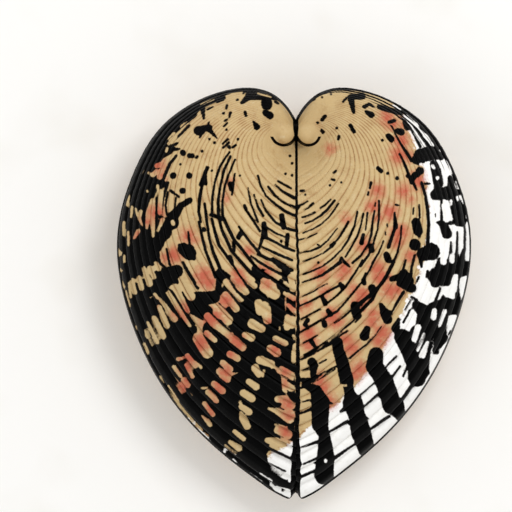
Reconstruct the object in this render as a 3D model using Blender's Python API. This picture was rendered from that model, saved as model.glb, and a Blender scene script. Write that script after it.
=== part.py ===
"""A heart cockle shell, closed and lying on its back face.

Two hollow valves meet on a seam, the plane X = 0, and a short horny ligament ties them on the back face.
Metres, +Z up. The beaks are towards +Y and the point of the heart towards -Y. The origin is on the surface
that the shell rests on, under the middle of its outline.

Each valve is a polar shape about the umbo, the point where its growth began. A growth angle of 0 degrees
points down the seam to the tip and 180 degrees points up it to the notch. A reach of 0 is the umbo and a
reach of 1 is the keel, the sharp rim that draws the heart.
"""

import math

import bmesh
import bpy
import numpy as np

MM = 0.001

# The heart's outline: how far the keel is from the umbo at each growth angle, as a share of TIP_REACH.
TIP_REACH = 53.4 * MM
OUTLINE = (
    (0, 1.0),
    (3.5, 0.979),
    (8, 0.94),
    (20, 0.841),
    (40, 0.688),
    (60, 0.559),
    (75, 0.459),
    (90, 0.378),
    (105, 0.297),
    (120, 0.229),
    (135, 0.177),
    (150, 0.126),
    (160, 0.088),
    (170, 0.056),
    (180, 0.038),
)

# Heights over the resting surface, and each face's swell off the line from umbo to keel, by growth angle.
UMBO_FRONT = 12.0 * MM
UMBO_BACK = 7.6 * MM
KEEL_HEIGHT = ((0, 8.5 * MM), (90, 10.4 * MM), (180, 10.6 * MM))
FRONT_SWELL = ((0, 15.2 * MM), (45, 13.2 * MM), (90, 8.6 * MM), (135, 4.2 * MM), (180, 0.9 * MM))
BACK_SWELL = ((0, 9.1 * MM), (45, 7.8 * MM), (90, 5.0 * MM), (135, 2.6 * MM), (180, 0.6 * MM))
RISE_POWER = {"front": 0.92, "back": 0.70}
FLANK_ROUNDING = {"front": 0.36, "back": 0.30}

# Ribs run round the valve at a steady reach. They are crowded outwards on the flanks.
RIBS = {"front": 32.5, "back": 18.5}
SMOOTH_RIBS = {"front": 7, "back": 4}
SMOOTH_PLACES = {"front": (0.011, 0.022, 0.033, 0.045, 0.07, 0.1, 0.13), "back": (0.03, 0.07, 0.12)}
RIB_WIDENING = 1.1
RIB_RELIEF = 0.24
FLANK_CROWDING = 0.22

# The beak: a knob rolled over the umbo against its twin, swelling into the lobe behind it.
BEAK_RADIUS = 1.8 * MM
BEAK_ROOT_RADIUS = 2.5 * MM
BEAK_HEIGHT = 14.0 * MM
BEAK_ROOT = (4.4 * MM, 3.3 * MM)
BEAK_ROOT_HEIGHT = 13.6 * MM
BEAK_BLEND = 0.9 * MM
BEAK_STEEPNESS = 4

# The lunule: the dip in the front face that the beaks overlook.
LUNULE_DEPTH = 1.7 * MM
LUNULE_DROP = 3.0 * MM
LUNULE_WIDTH = 3.6 * MM
LUNULE_HEIGHT = 4.2 * MM

# Wall, hinge plate and the gap at the seam.
WALL = 1.6 * MM
KEEL_WALL = 2.0 * MM
HINGE_PLATE = 0.10
CAVITY_END = 150
CAVITY_FADE = 45
CAVITY_BLUNTNESS = 0.45
SEAM_GAP = 0.3 * MM

# The ligament and the shallow seat that it lies in.
LIGAMENT_START = 1.6 * MM
LIGAMENT_LENGTH = 8.0 * MM
LIGAMENT_WIDTH = 2.6 * MM
LIGAMENT_THICKNESS = 1.0 * MM
LIGAMENT_END = 0.06
LIGAMENT_EDGE_LOSS = 0.7
SEAT_DEPTH = 0.8 * MM
SEAT_WIDTH = 1.8 * MM
SEAT_MARGIN = 0.15
SEAT_RUN_OUT = 0.25

# How finely the surfaces are divided.
STAGES = 22
CAVITY_STAGES = 11
CAVITY_COLUMNS = 9
LIGAMENT_STAGES = 12
LIGAMENT_COLUMNS = 6
NORMAL_STEP = 1e-4
MERGE_DISTANCE = 1e-7
CREASE = math.radians(50)


def smooth_curve(points, at):
    """The natural cubic spline through (place, value) points, read at the places in at."""
    place, value = np.array(points, float).T
    step = np.diff(place)
    slope = np.diff(value) / step
    system = np.eye(len(place))
    change = np.zeros(len(place))
    for i in range(1, len(step)):
        system[i, i - 1 : i + 2] = step[i - 1], 2 * (step[i - 1] + step[i]), step[i]
        change[i] = 6 * (slope[i] - slope[i - 1])
    bend = np.linalg.solve(system, change)
    i = np.clip(np.searchsorted(place, at) - 1, 0, len(step) - 1)
    t = at - place[i]
    first = slope[i] - step[i] * (2 * bend[i] + bend[i + 1]) / 6
    return value[i] + t * (first + t * (bend[i] / 2 + t * (bend[i + 1] - bend[i]) / (6 * step[i])))


def keel_reach(angle):
    """Distance from the umbo to the keel at a growth angle in degrees."""
    return TIP_REACH * smooth_curve(OUTLINE, angle)


def umbo_place():
    """How far the umbo is up the Y axis, so that the outline is centred on the origin."""
    angle = np.linspace(0, 180, 721)
    up = -keel_reach(angle) * np.cos(np.radians(angle))
    return -(up.max() + up.min()) / 2


UMBO_Y = umbo_place()


def swelling(reach, angle, face):
    """The swell of a face: reach**rise * (1 - reach)**fall, peaking at 1, and blunter on the flanks."""
    rise = RISE_POWER[face]
    fall = 1 - FLANK_ROUNDING[face] * np.sin(np.radians(angle)) ** 2
    peak = (rise / (rise + fall)) ** rise * (fall / (rise + fall)) ** fall
    return reach**rise * np.maximum(1 - reach, 0) ** fall / peak


def beak_top(x, y):
    """Height of the beak: a ball at the umbo drawn out into a wider one under the lobe, on a steep foot."""
    along = np.array(BEAK_ROOT) - (BEAK_RADIUS, 0)
    length = math.hypot(*along)
    along = along / length
    part = np.clip(((x - BEAK_RADIUS) * along[0] + (y - UMBO_Y) * along[1]) / length, 0, 1)
    radius = BEAK_RADIUS + (BEAK_ROOT_RADIUS - BEAK_RADIUS) * part
    middle = BEAK_HEIGHT + (BEAK_ROOT_HEIGHT - BEAK_HEIGHT) * part
    reached = part * length
    off = np.hypot(x - BEAK_RADIUS - reached * along[0], y - UMBO_Y - reached * along[1])
    ball = np.sqrt(np.maximum(radius**2 - off**2, 0))
    return middle + ball - BEAK_STEEPNESS * np.maximum(off - radius, 0)


def lunule(x, y):
    """Depth of the dip below the beaks, a round bell across the seam."""
    up = (y - UMBO_Y + LUNULE_DROP) / LUNULE_HEIGHT
    return LUNULE_DEPTH * np.exp(-((x / LUNULE_WIDTH) ** 2) - up**2)


def ligament_seat(x, y):
    """Depth of the seat: a shallow groove along the seam just under the umbo, running out past both ends."""
    along = (UMBO_Y - LIGAMENT_START - y) / LIGAMENT_LENGTH
    from_end = np.minimum(along, 1 - along) + SEAT_MARGIN
    return SEAT_DEPTH * np.clip(from_end / SEAT_RUN_OUT, 0, 1) * np.exp(-((x / SEAT_WIDTH) ** 2))


def blended_maximum(a, b, blend):
    """The greater of a and b, rounded off where they are within blend of each other."""
    near = np.maximum(blend - np.abs(a - b), 0) / blend
    return np.maximum(a, b) + near**2 * blend / 4


def face_point(reach, angle, face):
    """A point of a face with no ribs, as X, Y, Z with X from the seam."""
    turn = np.radians(angle)
    out = reach * keel_reach(angle)
    x = out * np.sin(turn)
    y = UMBO_Y - out * np.cos(turn)
    keel = smooth_curve(KEEL_HEIGHT, angle)
    if face == "front":
        z = UMBO_FRONT + (keel - UMBO_FRONT) * reach
        z = z + smooth_curve(FRONT_SWELL, angle) * swelling(reach, angle, face)
        z = blended_maximum(z - lunule(x, y), beak_top(x, y), BEAK_BLEND)
    else:
        z = UMBO_BACK + (keel - UMBO_BACK) * reach
        z = z - smooth_curve(BACK_SWELL, angle) * swelling(reach, angle, face)
        z = z + ligament_seat(x, y) * (1 - reach)
    return np.stack([x, y, z], axis=-1)


def worn_flat(point):
    """The same point, lifted to the resting surface if it would lie under it."""
    return np.array([point[0], point[1], max(point[2], 0)])


def rib_reach(place, angle):
    """The reach of a rib line that meets the seam at place, pushed outwards on the flanks."""
    return place ** (1 - FLANK_CROWDING * np.sin(np.radians(angle)) ** 2)


def rib_places(face):
    """Where a face's columns meet the seam: some near the umbo, then each groove and crest to the keel."""
    count = RIBS[face]
    number = np.arange(2 * SMOOTH_RIBS[face], 2 * count + 1) / 2
    places = (np.exp(number / count * math.log(1 + RIB_WIDENING)) - 1) / RIB_WIDENING
    smooth = SMOOTH_PLACES[face]
    return np.concatenate([smooth, places]), np.concatenate([np.full(len(smooth), np.nan), number])


def ribbed_point(place, number, angle, face):
    """A point of a ribbed face: crests stand out along the normal, and grooves lie as deep below it."""
    reach = rib_reach(place, angle)
    point = face_point(reach, angle, face)
    if np.isnan(number) or number == RIBS[face]:
        return worn_flat(point)
    across = face_point(reach - NORMAL_STEP, angle, face) - point
    along = face_point(reach, angle + NORMAL_STEP, face) - face_point(reach, angle - NORMAL_STEP, face)
    normal = np.cross(across, along)
    normal = normal / np.linalg.norm(normal)
    if (normal[2] < 0) == (face == "front"):
        normal = -normal
    width = (place + 1 / RIB_WIDENING) * math.log(1 + RIB_WIDENING) / RIBS[face] * keel_reach(angle)
    side = 1 if number % 1 else -1
    raised = point + normal * side * RIB_RELIEF / 2 * width
    if angle in (0, 180):
        raised[0] = 0
    return worn_flat(raised)


def valve_rows():
    """A row of points for each growth angle: out over the front, round the keel and in over the back face."""
    front = list(zip(*rib_places("front"), strict=True))
    back = list(zip(*rib_places("back"), strict=True))
    rows = []
    for angle in np.linspace(0, 180, STAGES + 1):
        row = [ribbed_point(place, number, angle, "front") for place, number in front]
        row += [ribbed_point(place, number, angle, "back") for place, number in back[-2::-1]]
        rows.append(row)
    return rows


def add_object(name, mesh_data, material):
    """A new object from a bmesh, with its normals facing out."""
    bmesh.ops.remove_doubles(mesh_data, verts=mesh_data.verts, dist=MERGE_DISTANCE)
    bmesh.ops.recalc_face_normals(mesh_data, faces=mesh_data.faces)
    mesh = bpy.data.meshes.new(name)
    mesh_data.to_mesh(mesh)
    mesh_data.free()
    mesh.shade_smooth()
    mesh.set_sharp_from_angle(angle=CREASE)
    obj = bpy.data.objects.new(name, mesh)
    bpy.context.scene.collection.objects.link(obj)
    if material:
        mesh.materials.append(material)
    return obj


def valve_body(name, side, material):
    """One valve, still solid. side is 1 on +X and -1 on -X."""
    bm = bmesh.new()

    def corner(point):
        return bm.verts.new((side * (point[0] + SEAM_GAP / 2), point[1], point[2]))

    front_pole = corner((0, UMBO_Y, face_point(0, 0, "front")[2]))
    back_pole = corner((0, UMBO_Y, face_point(0, 0, "back")[2]))
    rows = [[front_pole, *map(corner, row), back_pole] for row in valve_rows()]
    for low, high in zip(rows, rows[1:], strict=False):
        for i in range(len(low) - 1):
            ring = [low[i], low[i + 1], high[i + 1], high[i]]
            bm.faces.new(list(dict.fromkeys(ring)))
    bm.faces.new(rows[0] + rows[-1][-2:0:-1])
    return add_object(name, bm, material)


def cavity_point(reach, angle, face):
    """A point of the hollow's cast: the dome, a wall smaller, closing at the hinge plate and the umbo."""
    share = HINGE_PLATE + (1 - HINGE_PLATE) * reach
    inner = share * (1 - KEEL_WALL / keel_reach(angle))
    point = worn_flat(face_point(inner, angle, face))
    middle = (face_point(inner, angle, "front")[2] + face_point(inner, angle, "back")[2]) / 2
    fade = min(1, (CAVITY_END - angle) / CAVITY_FADE)
    rounding = math.sin(math.pi * reach) ** CAVITY_BLUNTNESS
    bulge = (abs(point[2] - middle) - WALL) * fade * rounding
    point[2] = middle + max(bulge, 0) * (1 if face == "front" else -1)
    return point


def cavity_cast():
    """The cutter for both valves: the space where the animal lived."""
    bm = bmesh.new()
    angles = np.linspace(-CAVITY_END, CAVITY_END, 2 * CAVITY_STAGES + 1)
    reaches = np.linspace(0, 1, CAVITY_COLUMNS + 1)
    for face in ("front", "back"):
        grid = []
        for angle in angles:
            points = [cavity_point(reach, abs(angle), face) for reach in reaches]
            grid.append([bm.verts.new((math.copysign(p[0], angle), p[1], p[2])) for p in points])
        for low, high in zip(grid, grid[1:], strict=False):
            for i in range(CAVITY_COLUMNS):
                bm.faces.new([low[i], low[i + 1], high[i + 1], high[i]])
    cast = add_object("hollow_cast", bm, None)
    cast.hide_render = True
    cast.display_type = "WIRE"
    return cast


def hollow_out(valve, cast):
    """Cuts the hollow out of a valve, on its own side of the seam."""
    cut = valve.modifiers.new("hollow", "BOOLEAN")
    cut.operation = "DIFFERENCE"
    cut.object = cast


def back_height(x, y):
    """Height of the back face at a place, with no ribs."""
    angle = math.degrees(math.atan2(abs(x), UMBO_Y - y))
    reach = math.hypot(x, UMBO_Y - y) / keel_reach(angle)
    return face_point(reach, angle, "back")[2]


def ligament_point(along, across, outside):
    """A point of the strap: along it from 0 to 1, across it from -1 to 1, by the shell or on its outside."""
    y = UMBO_Y - LIGAMENT_START - LIGAMENT_LENGTH * along
    taper = math.sin(math.pi * (LIGAMENT_END + (1 - 2 * LIGAMENT_END) * along)) ** 0.5
    x = across * LIGAMENT_WIDTH / 2 * taper
    thick = LIGAMENT_THICKNESS * taper * (1 - LIGAMENT_EDGE_LOSS * across**2)
    return x, y, back_height(x, y) - SEAM_GAP - outside * thick


def ligament(material):
    """A low arched strap that lies a seam's gap off the back face, thinning to its edges and ends."""
    stages = np.linspace(0, 1, LIGAMENT_STAGES + 1)
    columns = np.linspace(-1, 1, LIGAMENT_COLUMNS + 1)
    bm = bmesh.new()
    layers = [
        [[bm.verts.new(ligament_point(i, j, outside)) for j in columns] for i in stages]
        for outside in (0, 1)
    ]
    for grid in layers:
        for low, high in zip(grid, grid[1:], strict=False):
            for j in range(LIGAMENT_COLUMNS):
                bm.faces.new([low[j], high[j], high[j + 1], low[j + 1]])
    near, far = (
        [row[0] for row in grid] + grid[-1][1:] + [row[-1] for row in grid[-2::-1]] + grid[0][-2:0:-1]
        for grid in layers
    )
    for i in range(len(near)):
        bm.faces.new([near[i - 1], near[i], far[i], far[i - 1]])
    return add_object("ligament", bm, material)


def material(name, colour, roughness):
    """A plain finish of one colour."""
    made = bpy.data.materials.new(name)
    made.use_nodes = True
    shader = made.node_tree.nodes["Principled BSDF"]
    shader.inputs["Base Color"].default_value = (*colour, 1)
    shader.inputs["Roughness"].default_value = roughness
    shader.inputs["Metallic"].default_value = 0
    return made


def main():
    for obj in list(bpy.data.objects):
        bpy.data.objects.remove(obj)
    shell = material("spotted_shell", (0.62, 0.45, 0.25), 0.38)
    horn = material("dried_ligament", (0.07, 0.035, 0.015), 0.55)
    cast = cavity_cast()
    for name, side in (("left_valve", -1), ("right_valve", 1)):
        hollow_out(valve_body(name, side, shell), cast)
    ligament(horn)


main()
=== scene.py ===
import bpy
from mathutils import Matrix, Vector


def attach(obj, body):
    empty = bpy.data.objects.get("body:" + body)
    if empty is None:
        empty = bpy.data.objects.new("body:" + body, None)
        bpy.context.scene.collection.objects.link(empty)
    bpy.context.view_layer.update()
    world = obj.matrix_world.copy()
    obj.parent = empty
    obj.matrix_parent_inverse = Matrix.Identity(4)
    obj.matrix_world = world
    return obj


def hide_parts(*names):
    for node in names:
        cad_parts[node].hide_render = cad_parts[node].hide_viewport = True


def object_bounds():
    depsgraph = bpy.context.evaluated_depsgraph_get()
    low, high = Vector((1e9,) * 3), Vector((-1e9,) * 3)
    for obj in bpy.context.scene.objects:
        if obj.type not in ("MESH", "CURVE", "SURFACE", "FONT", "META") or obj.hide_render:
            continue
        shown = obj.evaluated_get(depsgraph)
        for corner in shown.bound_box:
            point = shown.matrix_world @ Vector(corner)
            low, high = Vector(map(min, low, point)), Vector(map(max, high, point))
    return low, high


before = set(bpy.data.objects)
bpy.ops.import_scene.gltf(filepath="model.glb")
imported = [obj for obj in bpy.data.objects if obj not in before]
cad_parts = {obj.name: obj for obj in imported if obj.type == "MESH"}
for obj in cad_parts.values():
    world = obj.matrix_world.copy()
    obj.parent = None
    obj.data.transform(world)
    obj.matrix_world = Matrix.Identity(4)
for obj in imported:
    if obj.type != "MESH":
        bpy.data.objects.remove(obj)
cad_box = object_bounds()

"""The looks of a heart cockle shell that lies on its back face, seen from straight above.

Each valve is a grid of growth angle by rib number about the umbo, the point where its growth began. A growth
angle of 0 degrees points down the seam to the tip of the heart, and 180 degrees points up it to the notch. A
reach of 0 is the umbo and a reach of 1 is the keel, the sharp rim that draws the heart. Lengths are in
millimetres until a mesh is made.
"""

import math

import bmesh
import bpy
import numpy as np
from mathutils import Vector

MM = 0.001

# ---------------------------------------------------------------------------------------------- the camera

LENS = 1600.0
SENSOR = 36.0
CAMERA_SIGHT = 10000.0
HEART_HEIGHT = 60.0
KEEL_PLANE = 9.5

# The view is a square of pixels, counted across from its left and down from its top.
VIEW_PIXELS = 512
HEART_PIXELS = 410
MIDDLE_ACROSS = 294
MIDDLE_DOWN = 293
PIXEL = HEART_HEIGHT / HEART_PIXELS


def add_camera():
    """Looks straight down, so far off that the heart at the keel's plane is HEART_PIXELS tall in the view."""
    data = bpy.data.cameras.new("camera")
    data.lens = LENS
    data.sensor_width = SENSOR
    data.clip_end = CAMERA_SIGHT * MM
    camera = bpy.data.objects.new("camera", data)
    right = (VIEW_PIXELS / 2 - MIDDLE_ACROSS) * PIXEL
    up = (MIDDLE_DOWN - VIEW_PIXELS / 2) * PIXEL
    height = KEEL_PLANE + VIEW_PIXELS * PIXEL * LENS / SENSOR
    camera.location = Vector((right, up, height)) * MM
    bpy.context.scene.collection.objects.link(camera)
    bpy.context.scene.camera = camera


# ------------------------------------------------------------------------------------- the valve's shape

# The tip is the frame's lowest point in plan, and the umbo lies TIP_REACH above it, to a thousandth.
TIP_REACH = 53.4
UMBO = round(TIP_REACH + cad_box[0][1] / MM, 3)

# How far the keel is from the umbo at each growth angle, as a share of TIP_REACH.
OUTLINE = (
    (0, 1.0),
    (3.5, 0.979),
    (8, 0.94),
    (20, 0.841),
    (40, 0.688),
    (60, 0.559),
    (75, 0.459),
    (90, 0.378),
    (105, 0.297),
    (120, 0.229),
    (135, 0.177),
    (150, 0.126),
    (160, 0.088),
    (170, 0.056),
    (180, 0.038),
)

# Heights over the table, and each face's swell off the line from umbo to keel, by growth angle.
UMBO_HEIGHT = {"front": 12.0, "back": 7.6}
KEEL_HEIGHT = ((0, 8.5), (90, 10.4), (180, 10.6))
SWELL = {
    "front": ((0, 15.2), (45, 13.2), (90, 8.6), (135, 4.2), (180, 0.9)),
    "back": ((0, -9.1), (45, -7.8), (90, -5.0), (135, -2.6), (180, -0.6)),
}
RISE_POWER = {"front": 0.92, "back": 0.70}
FLANK_ROUNDING = {"front": 0.36, "back": 0.30}

# The beak is a ball at the umbo that runs out into a wider one at its root. The lunule is the dip under it.
BEAK_RADIUS = 1.8
BEAK_HEIGHT = 14.0
BEAK_ROOT = (4.4, 3.3)
BEAK_ROOT_RADIUS = 2.5
BEAK_ROOT_HEIGHT = 13.6
BEAK_BLEND = 0.9
BEAK_STEEPNESS = 4
LUNULE_DEPTH = 1.7
LUNULE_DROP = 3.0
LUNULE_SIZE = (3.6, 4.2)

# Ribs between umbo and keel, how they widen and crowd on the flanks, and where they come in and go out.
RIBS = {"front": 32.5, "back": 18.5}
RIB_WIDENING = 1.1
FLANK_CROWDING = 0.22
RIB_RELIEF = 0.26
GROOVE_WIDTH = 0.34
RIB_CREST = 0.6
RIBS_BEGIN = {"front": (4, 9), "back": (2, 5)}
RIBS_END = 0.6
GROWTH_RELIEF = 0.035
GRID_PER_RIB = {"front": 7.5, "back": 3}

# Growth angles at which the faces have points: first, end and step of each stretch, finest at the tip.
ANGLE_STRETCHES = ((0, 30, 0.3), (30, 90, 0.5), (90, 180.5, 1))

# The seam's two sides are a hair apart. The drift is how far the seam lies to the right at each height.
SEAM_SPLIT = 0.02
SEAM_DRIFT = (
    (-28.7, 0.2),
    (-21.5, 0.35),
    (-15.7, 0.56),
    (4.8, 0.56),
    (9.9, 0.35),
    (20.9, 0.35),
    (25.7, 0.22),
)
SEAM_DRIFT_REACH = 7.0
SEAM_WAVE = 0.05
SEAM_WAVE_REACH = 1.6
SEAM_WAVE_BEGINS = (0.1, 0.3)

# The tip is drawn out by a share of its reach, and a small notch parts the two halves there.
TIP_BULGE = 0.0095
TIP_BULGE_ANGLE = 7.0
TIP_NOTCH = 0.025
TIP_NOTCH_ANGLE = 0.6
TIP_NOTCH_BEGINS = 0.9

# The hollow: its walls on the faces and at the keel, the solid hinge plate, and the angles where it closes.
WALL = 1.6
KEEL_WALL = 2.0
KEEL_JOIN = 0.90
HINGE_PLATE = 0.10
CAVITY_END = 150
CAVITY_FADE = 45
CAVITY_BLUNTNESS = 0.45
CAVITY_ROWS = 16

# The ligament, its folds and cracks, and the seat that it lies in.
LIGAMENT_START = 1.6
LIGAMENT_LENGTH = 8.0
LIGAMENT_WIDTH = 2.6
LIGAMENT_THICKNESS = 1.0
LIGAMENT_GAP = 0.3
LIGAMENT_ROWS = 81
LIGAMENT_COLUMNS = 49
LIGAMENT_FOLD_RATE = 60
LIGAMENT_FOLD_DEPTH = 0.10
LIGAMENT_CRACKS = 10
SEAT_DEPTH = 0.8
SEAT_WIDTH = 1.8
SEAT_MARGIN = 0.15
SEAT_RUN_OUT = 0.25


def smooth_curve(points, at):
    """The natural cubic spline through (place, value) points, read at every place in at."""
    place, value = np.array(points, float).T
    step = np.diff(place)
    slope = np.diff(value) / step
    system = np.eye(len(place))
    change = np.zeros(len(place))
    for i in range(1, len(step)):
        system[i, i - 1 : i + 2] = step[i - 1], 2 * (step[i - 1] + step[i]), step[i]
        change[i] = 6 * (slope[i] - slope[i - 1])
    bend = np.linalg.solve(system, change)
    i = np.clip(np.searchsorted(place, at) - 1, 0, len(step) - 1)
    t = at - place[i]
    first = slope[i] - step[i] * (2 * bend[i] + bend[i + 1]) / 6
    return value[i] + t * (first + t * (bend[i] / 2 + t * (bend[i + 1] - bend[i]) / (6 * step[i])))


def ramp(value, low, high):
    """0 below low, 1 above high, and the curve 3t^2 - 2t^3 between them."""
    t = np.clip((value - low) / (high - low), 0, 1)
    return t * t * (3 - 2 * t)


def keel_reach(angle):
    """Distance from the umbo to the keel: the tip's reach times the outline's share, times 1 + the bulge,
    which dies away beside the tip."""
    bulge = TIP_BULGE * (1 - ramp(angle, 0, TIP_BULGE_ANGLE))
    return TIP_REACH * smooth_curve(OUTLINE, angle) * (1 + bulge)


def swelling(reach, angle, face):
    """reach^rise * (1 - reach)^fall over its own peak, with a blunter fall on the flanks."""
    rise = RISE_POWER[face]
    fall = 1 - FLANK_ROUNDING[face] * np.sin(np.radians(angle)) ** 2
    peak = (rise / (rise + fall)) ** rise * (fall / (rise + fall)) ** fall
    return np.maximum(reach, 0) ** rise * np.maximum(1 - reach, 0) ** fall / peak


def beak_top(x, y):
    """A ball at the umbo drawn out into a wider one under the lobe: centre height + sqrt(r^2 - off^2), with
    straight steep slopes outside r."""
    along = np.array(BEAK_ROOT) - (BEAK_RADIUS, 0)
    length = np.hypot(*along)
    along = along / length
    part = np.clip(((x - BEAK_RADIUS) * along[0] + (y - UMBO) * along[1]) / length, 0, 1)
    radius = BEAK_RADIUS + (BEAK_ROOT_RADIUS - BEAK_RADIUS) * part
    middle = BEAK_HEIGHT + (BEAK_ROOT_HEIGHT - BEAK_HEIGHT) * part
    off = np.hypot(x - BEAK_RADIUS - part * length * along[0], y - UMBO - part * length * along[1])
    ball = np.sqrt(np.maximum(radius**2 - off**2, 0))
    return middle + ball - BEAK_STEEPNESS * np.maximum(off - radius, 0)


def lunule(x, y):
    """Depth of the dip below the beaks, a bell exp(-x^2 - y^2) across the seam."""
    up = (y - UMBO + LUNULE_DROP) / LUNULE_SIZE[1]
    return LUNULE_DEPTH * np.exp(-((x / LUNULE_SIZE[0]) ** 2) - up**2)


def ligament_seat(x, y):
    """Depth of the groove that the ligament lies in: a bell across the seam times a window along it."""
    along = (UMBO - LIGAMENT_START - y) / LIGAMENT_LENGTH
    lower = np.clip((along + SEAT_MARGIN) / SEAT_RUN_OUT, 0, 1)
    upper = np.clip((1 + SEAT_MARGIN - along) / SEAT_RUN_OUT, 0, 1)
    return SEAT_DEPTH * lower * upper * np.exp(-((x / SEAT_WIDTH) ** 2))


def smooth_face(reach, angle, face):
    """Points of a face with no ribs: polar in plan about the umbo, and in height the line from umbo to keel
    plus the face's swell. The beak is blended into the front, and the back has the ligament's seat."""
    turn = np.radians(angle)
    notch = TIP_NOTCH * np.exp(-((angle / TIP_NOTCH_ANGLE) ** 2)) * ramp(reach, TIP_NOTCH_BEGINS, 1)
    out = reach * keel_reach(angle) * (1 - notch)
    x = out * np.sin(turn)
    y = UMBO - out * np.cos(turn)
    z = UMBO_HEIGHT[face] + (smooth_curve(KEEL_HEIGHT, angle) - UMBO_HEIGHT[face]) * reach
    z = z + smooth_curve(SWELL[face], angle) * swelling(reach, angle, face)
    if face == "front":
        body, beak = z - lunule(x, y), beak_top(x, y)
        near = np.maximum(BEAK_BLEND - np.abs(body - beak), 0) / BEAK_BLEND
        z = np.maximum(body, beak) + near**2 * BEAK_BLEND / 4
    else:
        z = z + ligament_seat(x, y) * (1 - reach)
    return np.stack([x, y, z], axis=-1)


def rib_to_place(number, face):
    """Where rib number n of N meets the seam, as a reach: (exp(n/N ln(1+w)) - 1) / w, wider outwards."""
    return np.expm1(number / RIBS[face] * math.log1p(RIB_WIDENING)) / RIB_WIDENING


def place_to_rib(place, face):
    """The rib number that meets the seam at place, the inverse of rib_to_place."""
    return np.log1p(RIB_WIDENING * place) / math.log1p(RIB_WIDENING) * RIBS[face]


def seam_wave(y):
    """Sideways play of the seam, a sine that turns once in each rib and dies away above the umbo."""
    place = np.clip((UMBO - y) / TIP_REACH, 0, 1)
    return SEAM_WAVE * np.sin(2 * np.pi * place_to_rib(place, "front")) * ramp(place, *SEAM_WAVE_BEGINS)


def seam_drift(y):
    """Steady sideways play of the seam at each height up the shell."""
    place, drift = np.array(SEAM_DRIFT).T
    return np.interp(y, place, drift)


def growth_wrinkle(angle, number):
    """Uneven growth steps from -1 to 1: sin(1.9 a + 2.1 sin(0.37 a)) * sin(0.83 a + 0.2 n)."""
    return np.sin(1.9 * angle + 2.1 * np.sin(0.37 * angle)) * np.sin(0.83 * angle + 0.2 * number)


def face_grid(face, angles, phase):
    """A ribbed face as arrays over (growth angle, rib number): points, rib number with its phase, the gap
    from groove to groove, and the length along each rib. The surface moves along its normal by
    relief * gap * (crest - exp(-(sin(pi n) / w)^2)), plus the growth steps."""
    number = np.linspace(0, RIBS[face], int(RIBS[face] * GRID_PER_RIB[face]) + 1)[None, :]
    angle = angles[:, None]
    place = rib_to_place(number, face)
    reach = place ** (1 - FLANK_CROWDING * np.sin(np.radians(angle)) ** 2)
    points = smooth_face(reach, angle, face)
    out = np.gradient(points, axis=1)
    around = np.gradient(points, axis=0)
    around = around / np.maximum(np.linalg.norm(around, axis=2, keepdims=True), 1e-9)
    normal = np.cross(out, around)
    normal = normal / np.maximum(np.linalg.norm(normal, axis=2, keepdims=True), 1e-9)
    normal = normal if face == "front" else -normal
    step = number[0, 1] - number[0, 0]
    gap = np.linalg.norm(np.cross(out, around), axis=2) / step
    groove = np.exp(-((np.sin(np.pi * (number + phase)) / GROOVE_WIDTH) ** 2))
    shown = ramp(number, *RIBS_BEGIN[face]) * ramp(RIBS[face] - number, 0, RIBS_END)
    lift = RIB_RELIEF * gap * (RIB_CREST - groove) + GROWTH_RELIEF * growth_wrinkle(angle, number)
    points = points + normal * (lift * shown)[..., None]
    points[[0, -1], :, 0] = 0
    points[..., 2] = np.maximum(points[..., 2], 0)
    steps = np.linalg.norm(np.diff(points, axis=0, prepend=points[:1]), axis=2)
    return {
        "points": points,
        "angle": np.broadcast_to(angle, gap.shape),
        "number": np.broadcast_to(number + phase, gap.shape),
        "reach": reach,
        "gap": gap,
        "along": np.cumsum(steps, axis=0),
    }


def cavity_grid(face, angles, columns):
    """The hollow's wall: the same dome drawn in by the wall, closing at the hinge plate and in a point at
    CAVITY_END."""
    reach = np.linspace(0, 1, columns)[None, :]
    angle = angles[:, None]
    inner = (HINGE_PLATE + (1 - HINGE_PLATE) * reach) * (1 - KEEL_WALL / keel_reach(angle))
    front, back = (smooth_face(inner, angle, side) for side in ("front", "back"))
    point = (front if face == "front" else back).copy()
    middle = (front[..., 2] + back[..., 2]) / 2
    fade = np.minimum(1, (CAVITY_END - angle) / CAVITY_FADE)
    bulge = np.abs(np.maximum(point[..., 2], 0) - middle) - WALL
    bulge = bulge * fade * np.abs(np.sin(np.pi * reach)) ** CAVITY_BLUNTNESS
    point[..., 2] = middle + np.maximum(bulge, 0) * (1 if face == "front" else -1)
    point[-1] = point[-1, 0]
    return point


def meet_at_keel(front, back):
    """Lifts the back face's rim to the front's, where the beak's foot reaches over the keel."""
    lift = front["points"][:, -1:, 2] - back["points"][:, -1:, 2]
    back["points"][..., 2] += lift * ramp(back["reach"], KEEL_JOIN, 1)


# ------------------------------------------------------------------------------------------ the markings

# Marks are given in pixels of the view. Each has its half width at its start and at its end, and then the
# places that it runs through, as across and down. Spots and blushes have a place and a radius. Windows are
# light gaps in the marks and spots, and late marks lie over the windows.

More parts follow.
